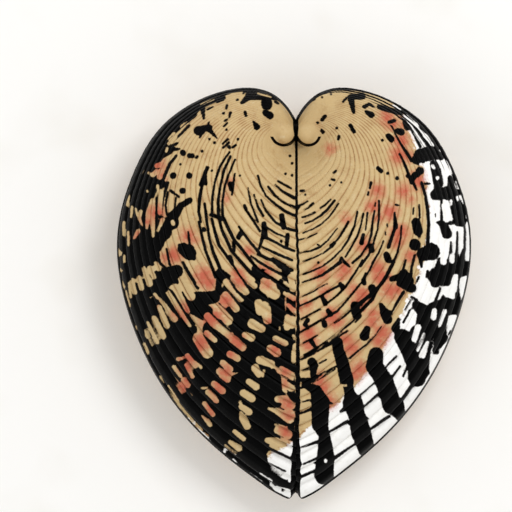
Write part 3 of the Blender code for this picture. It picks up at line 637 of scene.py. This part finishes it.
LEFT_LATE_MARKS = (
    (0.9, 0.8, 281, 374.5, 291, 380.5), (1.2, 0.6, 270, 403.5, 284, 409.5),
    (1.3, 2.2, 262, 272, 274, 280, 287, 290), (1, 1.3, 251, 256, 259, 262, 268, 267.5, 281, 274),
    (1.4, 1.4, 158, 256, 160.5, 263, 166, 268.5), (1, 1.2, 226, 275, 231, 282, 237, 291, 246, 299),
    (1, 1.2, 231, 262, 235, 268, 241, 277, 246, 284, 251, 291), (0.8, 0.8, 219, 303, 228, 311, 233, 315),
    (0.8, 1.2, 207, 309, 215, 317, 224, 325, 231, 331), (2.6, 2.2, 268, 472, 291, 486),
    (1.3, 1.3, 267, 447, 292, 459), (0.9, 1, 269, 463, 285, 471), (1.2, 1.2, 287.5, 477.5, 287.5, 478.5),
    (1, 1, 282.5, 490.5, 282.5, 491.5),
)
# Soft red blushes of both halves.
BLUSHES = (
    (387, 118, 8), (392, 124, 7), (406, 122, 8), (401, 142, 9), (399, 155, 10), (417, 180, 10),
    (409, 157, 6), (377, 191, 8), (403, 192, 8), (373, 207, 8), (389, 212, 9), (378, 218, 6),
    (399, 233, 10), (397, 241, 8), (410, 256, 7), (364, 246, 8), (377, 269, 9), (381, 277, 10),
    (344, 269, 8), (341, 275, 6), (320, 272, 9), (324, 291, 7), (389, 291, 9), (396, 290, 8),
    (363, 296, 10), (360, 303, 9), (332, 316, 10), (336, 321, 8), (352, 289, 6), (372, 321, 8),
    (373, 314, 7), (382, 333, 10), (378, 340, 8), (346, 340, 8), (351, 348, 9), (308, 333, 9),
    (310, 342, 9), (306, 304, 6), (359, 369, 9), (356, 374, 8), (319, 380, 8), (322, 389, 9),
    (326, 400, 10), (299, 307, 6), (346, 219, 5), (330, 149, 5), (410, 200, 4), (158, 166, 8),
    (157, 213, 9), (147, 222, 6), (138, 236, 6), (174, 256, 9), (166, 258, 6), (204, 276, 10),
    (209, 281, 10), (239, 280, 9), (238, 274, 7), (188, 236, 8), (193, 240, 6), (226, 300, 9),
    (228, 306, 6), (187, 309, 8), (182, 317, 6), (210, 318, 11), (216, 317, 9), (201, 342, 10),
    (197, 348, 9), (236, 339, 9), (188, 359, 10), (186, 367, 8), (184, 387, 9), (187, 380, 7),
    (226, 371, 8), (221, 383, 9), (218, 390, 8), (212, 407, 9), (210, 414, 6), (276, 349, 8), (292, 304, 9),
    (177, 313, 6), (154, 304, 4), (248, 251, 6), (266, 271, 8), (268, 283, 6), (230, 184, 5), (226, 198, 4),
    (162, 176, 5), (287, 403, 8), (289, 415, 7), (286, 431, 8), (289, 434, 6), (285, 371, 7), (285, 382, 5),
    (269, 322, 5), (239, 343, 8), (229, 353, 7), (207, 334, 6),
)

# The tan stain covers a heart a little smaller than the shell's own, set up and to the left of it.
STAIN_UMBO = (-5.9, 28.4)
STAIN_SCALE = 0.985

# Half widths of the lines that draw the form. Each step adds to the seam's line between two heights.
# Painted shade: the seam's lines darken the gap between the valves, and the beak's line the shade under its
# hook.
SEAM_LINE = 0.18
SEAM_LINE_STEPS = ((0.1, 0, -18), (0.4, -19, -25), (0.2, UMBO - 1, UMBO + 1))
BACK_SEAM_LINE = 0.1
BEAK_LINE = 0.2
BEAK_LINE_RADIUS = 1.75
BEAK_LINE_TOP = UMBO - 0.5
OUTLINE_FIRMNESS = 3

# Width of the dark border inside the keel at each growth angle.
# Painted shade: the border darkens the rim where it turns away, widest on the upper left, away from the key
# light.
LEFT_BORDER = (
    (65, 0.26),
    (85, 1.7),
    (92, 1.7),
    (99, 2.0),
    (103, 1.5),
    (107, 0.6),
    (130, 0.6),
    (150, 0.45),
    (180, 0.4),
)
RIGHT_BORDER = ((0, 0.28), (115, 0.22), (130, 0.36), (145, 0.5), (160, 0.5), (172, 0.4), (180, 0.4))

# Ink spreads a little past a mark's own edge, and takes a little off each side of a window.
MARK_GROWTH = 0.03
WINDOW_LOSS = 0.06
FAR_OFF = 99.0

# Dark lines in the grooves near the rim: the reach and the growth angles over which they come in and go out.
# Painted shade: these lines and the hairlines darken the grooves where shade lies in them.
NO_LINE = -0.5
LEFT_RIM_LINES = {"reach": (0.80, 0.93), "begin": (62, 75), "end": (118, 132), "share_of_gap": 0.24}
RIGHT_RIM_LINES = {"reach": (0.80, 0.90), "begin": (70, 78), "width": 0.22}
HAIRLINES_BEGIN = (4, 8)
HAIRLINES_END = (95, 135)

# The back face: bands by growth angle, what widens and breaks them, and thin lines of painted shade in
# grooves.
BACK_BAND_STEP = 13.0
BACK_BAND_WIDTHS = {"umbo": -0.9, "keel": 1.7, "breaks": 0.45}
BACK_STAIN = {"firmness": 6, "edge": (0.90, 1.02), "rim": -0.5}
BACK_LINES = {"reach": (0.5, 0.8), "width": 0.12}
BACK_HAIRLINES_BEGIN = (3, 6)
# Painted shade on the seam's face and the notch's wall: black at the outer edge, none at the inner.
SEAM_SHADE_OUT = -0.8
SEAM_SHADE_IN = 1.2


def in_shell(across, down):
    """A pixel of the view as a place on the shell, in plan."""
    return (across - MIDDLE_ACROSS) * PIXEL, (MIDDLE_DOWN - down) * PIXEL


def marks_distance(x, y, marks):
    """Distance to the nearest mark's edge, below 0 inside one: how far its middle line is, less its half
    width there."""
    nearest = np.full(x.shape, FAR_OFF)
    for start, end, *route in marks:
        places = np.stack(in_shell(*np.reshape(route, (-1, 2)).T), axis=-1)
        halves = np.linspace(start, end, len(places)) * PIXEL
        for (x0, y0), (x1, y1), first, last in zip(places, places[1:], halves, halves[1:], strict=False):
            length = (x1 - x0) ** 2 + (y1 - y0) ** 2
            part = np.clip(((x - x0) * (x1 - x0) + (y - y0) * (y1 - y0)) / length, 0, 1)
            off = np.hypot(x - x0 - part * (x1 - x0), y - y0 - part * (y1 - y0))
            nearest = np.minimum(nearest, off - first - (last - first) * part)
    return nearest


def spot_distance(x, y, spots):
    """Distance to the nearest spot's edge, below 0 inside one."""
    nearest = np.full(x.shape, FAR_OFF)
    for across, down, radius in spots:
        x0, y0 = in_shell(across, down)
        nearest = np.minimum(nearest, np.hypot(x - x0, y - y0) - radius * PIXEL)
    return nearest


def stain_depth(x, y):
    """How far inside the tan stain a place is: the smaller heart's reach less the distance from its umbo."""
    across, down = x - STAIN_UMBO[0], STAIN_UMBO[1] - y
    angle = np.degrees(np.arctan2(np.abs(across), down))
    return STAIN_SCALE * keel_reach(angle) - np.hypot(across, down)


def keel_distance(x, y):
    """Distance in from the keel in plan, square to it: (r(angle) - out) / sqrt(1 + (r'/r)^2)."""
    angle = np.degrees(np.arctan2(x, UMBO - y))
    slope = np.log(keel_reach(angle + 0.5) / keel_reach(angle - 0.5)) / math.radians(1)
    return (keel_reach(angle) - np.hypot(x, UMBO - y)) / np.sqrt(1 + slope**2)


def outline_shade_distance(grid, y, border):
    """Distance to the lines of painted shade that draw the form: along the seam, round the keel and under the
    beak.
    """
    x = grid["points"][..., 0]
    seam = x - SEAM_LINE - sum(more * ramp(y, start, end) for more, start, end in SEAM_LINE_STEPS)
    keel = keel_distance(x, y) - np.interp(grid["angle"], *np.array(border).T)
    beak = np.abs(np.hypot(x - BEAK_RADIUS, y - UMBO) - BEAK_LINE_RADIUS) - BEAK_LINE
    beak = np.maximum(beak, y - BEAK_LINE_TOP)
    return np.minimum(np.minimum(seam, keel), beak)


def markings_distance(x, y, marks, spots, windows, late):
    """Distance to the ink: the nearer of marks and spots, cut back by the windows, or a late mark's."""
    ink = np.minimum(marks_distance(x, y, marks), spot_distance(x, y, spots)) - MARK_GROWTH
    ink = np.maximum(ink, WINDOW_LOSS - marks_distance(x, y, windows))
    return np.minimum(ink, marks_distance(x, y, late))


def paint_front(grid, side):
    """The front face's paint: signed distances to dark, blush and stain, the half width of the groove lines,
    and the weight of the hairlines."""
    x, y, _ = np.moveaxis(place_valve_points(grid["points"], side), -1, 0)
    angle, number, reach = (grid[key] for key in ("angle", "number", "reach"))
    if side < 0:
        ink = markings_distance(x, y, LEFT_MARKS, LEFT_SPOTS, LEFT_WINDOWS, LEFT_LATE_MARKS)
        border = outline_shade_distance(grid, y, LEFT_BORDER)
        rim = LEFT_RIM_LINES
        width = rim["share_of_gap"] * grid["gap"]
        shown = 1 - ramp(angle, *rim["end"])
    else:
        ink = markings_distance(x, y, RIGHT_MARKS, RIGHT_SPOTS, RIGHT_WINDOWS, RIGHT_LATE_MARKS)
        border = outline_shade_distance(grid, y, RIGHT_BORDER)
        rim = RIGHT_RIM_LINES
        width = rim["width"]
        shown = 1
    shown = shown * ramp(reach, *rim["reach"]) * ramp(angle, *rim["begin"])
    # Dark holds the shell's own markings and the painted shade of the seam, keel and beak lines.
    grid["dark"] = np.minimum(ink, OUTLINE_FIRMNESS * border)
    grid["stain"] = stain_depth(x, y)
    grid["blush"] = np.maximum(spot_distance(x, y, BLUSHES), -grid["stain"])
    grid["line"] = NO_LINE + (width - NO_LINE) * shown
    grid["hairline"] = ramp(number, *HAIRLINES_BEGIN) * (1 - ramp(angle, *HAIRLINES_END))


def back_band_distance(grid, side):
    """Distance to the nearest dark band of the back: the arc from its middle line, which swings as a sine of
    the rib number, less a width that grows to the keel and comes and goes as another sine."""
    angle, number, reach = (grid[key] for key in ("angle", "number", "reach"))
    turns = (angle + 2.5 * np.sin(0.7 * number) + 4 * reach) / BACK_BAND_STEP + 0.5
    off = np.abs(turns % 1 - 0.5) * BACK_BAND_STEP
    breaks = np.sin(1.3 * number + 2.2 * np.floor(turns) + side)
    width = BACK_BAND_WIDTHS["umbo"] + BACK_BAND_WIDTHS["keel"] * reach + BACK_BAND_WIDTHS["breaks"] * breaks
    return np.radians(off) * reach * keel_reach(angle) - width


def paint_back(grid, side):
    """The back face's paint: broken dark bands that fan out at even growth angles on a tan ground, and
    blushes where a product of two sines is high."""
    x, y = side * grid["points"][..., 0], grid["points"][..., 1]
    number, reach = grid["number"], grid["reach"]
    # The dark line along the seam is painted shade, over bands that are the shell's own.
    grid["dark"] = np.minimum(back_band_distance(grid, side), grid["points"][..., 0] - BACK_SEAM_LINE)
    grid["blush"] = 0.9 - 1.4 * np.sin(0.9 * x + 1.2 * np.sin(0.7 * y)) * np.sin(0.8 * y + np.sin(0.6 * x))
    grid["stain"] = BACK_STAIN["firmness"] * (1 - ramp(reach, *BACK_STAIN["edge"])) + BACK_STAIN["rim"]
    # Painted shade: thin dark lines and hairlines in the grooves towards the keel.
    grid["line"] = NO_LINE + (BACK_LINES["width"] - NO_LINE) * ramp(reach, *BACK_LINES["reach"])
    grid["hairline"] = ramp(number, *BACK_HAIRLINES_BEGIN)


# -------------------------------------------------------------------------------------------- the meshes

PAINTS = ("dark", "blush", "stain", "line", "hairline", "gap", "number", "along")
MERGE_DISTANCE = 2e-8
CREASE = math.radians(55)


def grid_faces(rows, columns):
    """The corner numbers of every square of a grid."""
    corner = np.arange(rows - 1)[:, None] * columns + np.arange(columns - 1)[None, :]
    return np.stack([corner, corner + 1, corner + columns + 1, corner + columns], axis=-1).reshape(-1, 4)


def add_piece(name, grids, materials):
    """One mesh from grids that share their edges: points are joined where they meet, paints are kept at the
    faces' corners, and the faces are turned outwards."""
    faces, slots, first = [], [], 0
    for grid in grids:
        rows, columns = grid["points"].shape[:2]
        faces.append(grid_faces(rows, columns) + first)
        slots.append(np.full(len(faces[-1]), grid.get("slot", 0), np.int32))
        first += rows * columns
    faces = np.concatenate(faces)
    points = np.concatenate([grid["points"].reshape(-1, 3) for grid in grids])
    mesh = bpy.data.meshes.new(name)
    mesh.from_pydata((points * MM).tolist(), [], faces.tolist())
    for layer_name in PAINTS:
        values = [np.broadcast_to(grid.get(layer_name, 0.0), grid["points"].shape[:2]) for grid in grids]
        values = np.concatenate([value.ravel() for value in values])
        layer = mesh.attributes.new(layer_name, "FLOAT", "CORNER")
        layer.data.foreach_set("value", values[faces.ravel()].astype(np.float32))
    for material in materials:
        mesh.materials.append(material)
    mesh.polygons.foreach_set("material_index", np.concatenate(slots))
    merged = bmesh.new()
    merged.from_mesh(mesh)
    bmesh.ops.remove_doubles(merged, verts=merged.verts, dist=MERGE_DISTANCE)
    bmesh.ops.recalc_face_normals(merged, faces=merged.faces)
    merged.to_mesh(mesh)
    merged.free()
    mesh.shade_smooth()
    mesh.set_sharp_from_angle(angle=CREASE)
    piece = bpy.data.objects.new(name, mesh)
    bpy.context.scene.collection.objects.link(piece)
    return piece


def place_valve_points(points, side):
    """Puts a valve on its own side of the seam. Both share its wave and drift, which die away from it as
    exp(-(x / reach)^2)."""
    x, y, z = np.moveaxis(points, -1, 0)
    wave = seam_wave(y) * np.exp(-((x / SEAM_WAVE_REACH) ** 2))
    drift = seam_drift(y) * np.exp(-((x / SEAM_DRIFT_REACH) ** 2))
    return np.stack([side * (x + SEAM_SPLIT / 2) + wave + drift, y, z], axis=-1)


def add_valve(name, side, materials):
    """A hollow valve: front and back, the two walls of its hollow, and the flat seam face between them. Its
    grooves meet its twin's ribs, so that one side is half a rib ahead."""
    angles = np.concatenate([np.arange(*stretch) for stretch in ANGLE_STRETCHES])
    inner_angles = np.linspace(0, CAVITY_END, CAVITY_ROWS)
    phase = 0.5 if side > 0 else 0.0
    front, back = face_grid("front", angles, phase), face_grid("back", angles, phase)
    meet_at_keel(front, back)
    paint_front(front, side)
    paint_back(back, side)
    grids = []
    for face, outer in (("front", front), ("back", back)):
        columns = outer["points"].shape[1]
        inner = cavity_grid(face, inner_angles, columns)
        hinge = np.broadcast_to(inner[0, 0], (columns, 3))
        seam = np.stack([outer["points"][0], inner[0]])
        notch = np.stack([outer["points"][-1], hinge])
        # The seam's face and the notch's wall go dark towards the outer edge: painted shade in the gap
        # between the valves.
        edge = np.array([[SEAM_SHADE_OUT], [SEAM_SHADE_IN]])
        grids += [outer, {"points": inner, "slot": 1, "dark": SEAM_SHADE_IN}]
        grids += [{"points": strip, "slot": 1, "dark": edge} for strip in (seam, notch)]
    for grid in grids:
        grid["points"] = place_valve_points(grid["points"], side)
    return add_piece(name, grids, materials)


def back_height(x, y):
    """Height of the smooth back face at a place in plan."""
    angle = np.degrees(np.arctan2(np.abs(x), UMBO - y))
    reach = np.hypot(x, UMBO - y) / keel_reach(angle)
    return smooth_face(reach, angle, "back")[..., 2]


def add_ligament(materials):
    """A strap that lies a gap off the back face: round it, x goes as cos and its thickness as sin, and both
    taper as a root of a sine towards its ends. Fine folds, sin(60 along + 3 cos), bow across it."""
    turn = np.linspace(0, 2 * np.pi, LIGAMENT_COLUMNS)[None, :]
    along = np.linspace(0, 1, LIGAMENT_ROWS)[:, None]
    taper = np.sqrt(np.abs(np.sin(np.pi * along)))
    x = np.cos(turn) * LIGAMENT_WIDTH / 2 * taper
    y = np.broadcast_to(UMBO - LIGAMENT_START - LIGAMENT_LENGTH * along, x.shape)
    fold = 1 + LIGAMENT_FOLD_DEPTH * np.sin(LIGAMENT_FOLD_RATE * along + 3 * np.cos(turn))
    top = back_height(x, y) - LIGAMENT_GAP
    z = np.where(np.sin(turn) >= 0, top, top - LIGAMENT_THICKNESS * taper * np.abs(np.sin(turn)) * fold)
    points = np.stack([x, y, z], axis=-1)
    points[:, -1] = points[:, 0]
    return add_piece("ligament_strap", [{"points": points, "number": LIGAMENT_CRACKS * along}], materials)


# ------------------------------------------------------------------------------------------- the finishes


def paint(red, green, blue):
    """A colour in sRGB, 0 to 255, as the linear colour that a shader takes, by the sRGB curve."""
    share = np.array((red, green, blue)) / 255
    linear = np.where(share <= 0.04045, share / 12.92, ((share + 0.055) / 1.055) ** 2.4)
    return (*linear.tolist(), 1.0)


class Field:
    """A number or colour that varies over a surface: a node's output, whose arithmetic adds Math nodes."""

    def __init__(self, finish, socket):
        self.finish = finish
        self.socket = socket

    def maths(self, operation, *others):
        inputs = dict(enumerate((self, *others)))
        return self.finish.node("Math", {"operation": operation}, inputs)

    def __add__(self, other):
        return self.maths("ADD", other)

    def __sub__(self, other):
        return self.maths("SUBTRACT", other)

    def __mul__(self, other):
        return self.maths("MULTIPLY", other)

    def __rsub__(self, other):
        return (self * -1) + other

    __radd__ = __add__
    __rmul__ = __mul__


class Finish:
    """A material being made. Its own values go straight on the shader, and node() adds everything else."""

    def __init__(self, name, **values):
        self.material = bpy.data.materials.new(name)
        self.material.use_nodes = True
        self.tree = self.material.node_tree
        self.shader = self.tree.nodes["Principled BSDF"]
        for socket, value in values.items():
            self.shader.inputs[socket.replace("_", " ")].default_value = value

    def node(self, kind, settings, inputs, output=0):
        """Adds a node of a kind: first its settings, then the values or links of its sockets. Hands back the
        output that is asked for."""
        node = self.tree.nodes.new("ShaderNode" + kind)
        for name, value in settings.items():
            setattr(node, name, value)
        for name, value in inputs.items():
            if isinstance(value, Field):
                self.tree.links.new(value.socket, node.inputs[name])
            else:
                node.inputs[name].default_value = value
        return Field(self, node.outputs[output])

    def painted(self, name):
        """A number that the mesh carries at its faces' corners."""
        return self.node("Attribute", {"attribute_name": name}, {}, "Fac")

    def place(self):
        """The place on the object, in its own coordinates."""
        return self.node("TexCoord", {}, {}, "Object")

    def grain(self, size, detail=2.0, rough=0.5, at=None):
        """Noise about 0 with lumps of a size in millimetres, at the object's place or at any other."""
        lumps = {"Scale": 1 / (size * MM), "Detail": detail, "Roughness": rough}
        return self.node("TexNoise", {}, {"Vector": at or self.place(), **lumps}, "Fac") * 2 - 1

    def between(self, value, low, high):
        """0 where value is at low, 1 where it is at high, and a smooth step between."""
        inputs = {"Value": value, "From Min": low, "From Max": high}
        return self.node("MapRange", {"interpolation_type": "SMOOTHSTEP"}, inputs)

    def tint(self, colour, over, share):
        """A colour laid over another by a share, on the Mix node's colour sockets: 6 and 7 in, 2 out."""
        inputs = {"Factor": share, 6: colour, 7: over}
        return self.node("Mix", {"data_type": "RGBA"}, inputs, 2)

    def wear(self, **inputs):
        """Wires what varies over the surface to the shader, and hands back the material."""
        for socket, value in inputs.items():
            self.tree.links.new(value.socket, self.shader.inputs[socket.replace("_", " ")])
        return self.material

    def relief(self, height, depth):
        """A bump of a depth in millimetres from a height of 0 to 1."""
        return self.node("Bump", {}, {"Height": height, "Distance": depth * MM, "Strength": 1.0}, "Normal")


TAN = paint(203, 176, 128)
DEEP_TAN = paint(181, 148, 101)
PALE_TAN = paint(214, 194, 154)
CHALK = paint(253, 252, 249)
GREY_CHALK = paint(242, 240, 234)
ROSE = paint(190, 78, 62)
RUST = paint(150, 88, 48)
INK = paint(3, 3, 3)
BROWN_INK = paint(62, 38, 24)


def make_shell_finish():
    """Chalky shell with a tan stain, rose blushes, black markings that run into the grooves, and painted
    shade.
    """
    finish = Finish("spotted_shell", Specular_IOR_Level=0.04, Coat_Roughness=0.3)
    number, gap = finish.painted("number"), finish.painted("gap")
    groove = number.maths("PINGPONG", 0.5) * gap
    broad, middling, fine = finish.grain(3.2), finish.grain(0.9), finish.grain(0.35)
    along = {0: number * (1.2 * MM), 1: finish.painted("along") * (MM / 4)}
    rib_place = finish.node("CombineXYZ", {}, along)

    stain = finish.between(finish.painted("stain") + 0.9 * broad + 0.9 * middling, -0.2, 0.25)
    ground = finish.tint(CHALK, GREY_CHALK, finish.between(middling, -0.1, 0.7))
    cloth = finish.tint(TAN, DEEP_TAN, finish.between(broad + 0.5 * fine, 0.0, 0.8))
    cloth = finish.tint(cloth, PALE_TAN, finish.between(middling + 0.6 * fine, 0.1, 0.9))
    colour = finish.tint(ground, cloth, stain)
    fringe = finish.between((finish.painted("stain") + 0.9 * middling).maths("ABSOLUTE"), 0.55, 0.1)
    fringe = fringe * finish.between(finish.grain(0.5) + 0.5 * broad, 0.0, 0.4)
    colour = finish.tint(colour, RUST, 0.65 * fringe)

    blush = finish.between(finish.painted("blush") + 0.7 * middling + 0.5 * fine, 0.9, -1.2)
    colour = finish.tint(colour, ROSE, 0.85 * blush)

    # Painted shade: rust brown hairlines darken the grooves, in broken stretches.
    hairline = finish.between(groove + 0.08 * fine, 0.17, 0.04) * finish.painted("hairline")
    hairline = hairline * finish.between(finish.grain(1.6) + 0.4 * fine, -0.35, 0.3)
    colour = finish.tint(colour, RUST, 0.4 * hairline * (0.15 + 0.85 * stain))

    # Painted shade joins the marks here: the dark paint carries the seam, keel and beak lines, and the lines
    # darken grooves near the rim.
    marks = finish.painted("dark") - 0.01 + 0.12 * finish.grain(0.9, at=rib_place) + 0.08 * fine
    lines = groove - finish.painted("line") + 0.45 * finish.grain(1.9, at=rib_place)
    dark = marks.maths("SMOOTH_MIN", lines, 0.2)
    colour = finish.tint(colour, BROWN_INK, 0.5 * finish.between(dark, 0.09, 0.0))
    colour = finish.tint(colour, INK, finish.between(dark, 0.05, -0.05))

    dust = finish.between(finish.grain(0.22, 1.0), 0.35, 0.75)
    roughness = 0.40 + 0.10 * middling + 0.14 * dust
    height = 0.5 + 0.35 * fine + 0.15 * finish.grain(0.12)
    gloss = finish.between(dark, 0.0, 0.3) * 0.12
    normal = finish.relief(height, 0.03)
    return finish.wear(Base_Color=colour, Roughness=roughness, Coat_Weight=gloss, Normal=normal)


def make_lining_finish():
    """Smooth porcelain cream, a little rosy in broad clouds, inside the hollow and on the seam's face."""
    finish = Finish("porcelain_lining", IOR=1.53)
    cloud = finish.grain(6.0)
    colour = finish.tint(paint(240, 231, 214), paint(229, 205, 186), finish.between(cloud, -0.2, 0.6))
    colour = finish.tint(colour, paint(214, 196, 160), finish.between(finish.grain(1.2), 0.2, 0.8))
    # Painted shade: the seam's face turns black towards its outer edge, where the gap between the valves is
    # shaded.
    edge = finish.painted("dark") + 0.3 * finish.grain(0.9)
    colour = finish.tint(colour, INK, finish.between(edge, 0.35, -0.1))
    height = 0.5 + 0.3 * finish.grain(0.6)
    return finish.wear(Base_Color=colour, Roughness=0.24 + 0.08 * cloud, Normal=finish.relief(height, 0.02))


def make_ligament_finish():
    """Dried horn, brown to near black, with paler fibres that run along it and dull cracks across."""
    finish = Finish("dried_ligament", IOR=1.5)
    stretched = finish.node("VectorMath", {"operation": "MULTIPLY"}, {0: finish.place(), 1: (1.0, 0.12, 1.0)})
    fibre = finish.grain(0.25, 3.0, 0.6, stretched)
    crack = finish.painted("number").maths("PINGPONG", 0.5)
    colour = finish.tint(paint(58, 36, 22), paint(104, 70, 42), finish.between(fibre, -0.2, 0.5))
    colour = finish.tint(colour, paint(34, 22, 15), 0.8 * finish.between(crack + 0.1 * fibre, 0.14, 0.02))
    roughness = 0.52 + 0.2 * fibre
    return finish.wear(Base_Color=colour, Roughness=roughness, Normal=finish.relief(0.5 + 0.5 * fibre, 0.05))


def make_table_finish():
    """Plain matt off-white with the faintest unevenness."""
    finish = Finish("pale_table", Specular_IOR_Level=0.1)
    unevenness = finish.between(finish.grain(14.0), 0, 0.6)
    colour = finish.tint(paint(250, 249, 246), paint(245, 243, 238), unevenness)
    return finish.wear(Base_Color=colour, Roughness=0.92 + 0.05 * finish.grain(2.0))


# --------------------------------------------------------------------------------------- table and lights

TABLE_SIZE = 1200.0
TABLE_DROP = 0.05

# Each light's name, place, size and power.
LIGHTS = (
    ("key_light", (150, 190, 420), 180, 0.8),
    ("fill_light", (-260, -120, 340), 260, 0.2),
)
ROOM_LIGHT = 0.72


def add_table(material):
    """A flat sheet under the shell, a hair below its resting face."""
    half = TABLE_SIZE / 2
    corners = np.array([(-1, -1, 0), (1, -1, 0), (1, 1, 0), (-1, 1, 0)]) * half - (0, 0, TABLE_DROP)
    mesh = bpy.data.meshes.new("table")
    mesh.from_pydata((corners * MM).tolist(), [], [(0, 1, 2, 3)])
    mesh.materials.append(material)
    table = bpy.data.objects.new("table", mesh)
    bpy.context.scene.collection.objects.link(table)
    return table


def add_lights():
    """Square soft lights that face the shell's middle, in a pale room."""
    for name, place, size, power in LIGHTS:
        data = bpy.data.lights.new(name, "AREA")
        data.size = size * MM
        data.energy = power
        light = bpy.data.objects.new(name, data)
        light.location = Vector(place) * MM
        towards = Vector((0, 0, KEEL_PLANE)) * MM - light.location
        light.rotation_euler = towards.to_track_quat("-Z", "Y").to_euler()
        bpy.context.scene.collection.objects.link(light)
    room = bpy.data.worlds.new("pale_room")
    room.use_nodes = True
    background = room.node_tree.nodes["Background"]
    background.inputs["Color"].default_value = (1, 1, 1, 1)
    background.inputs["Strength"].default_value = ROOM_LIGHT
    bpy.context.scene.world = room


# --------------------------------------------------------------------------------------------- the scene

bpy.context.scene.view_settings.view_transform = "Standard"
add_camera()
shell = [make_shell_finish(), make_lining_finish()]
right = add_valve("right_half", 1, shell)
left = add_valve("left_half", -1, shell)
strap = add_ligament([make_ligament_finish()])
for piece, node, slot in (
    (right, "right_valve", "spotted_shell"),
    (left, "left_valve", "spotted_shell"),
    (strap, "ligament", "dried_ligament"),
):
    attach(piece, "root")
    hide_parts(node)
add_table(make_table_finish())
add_lights()
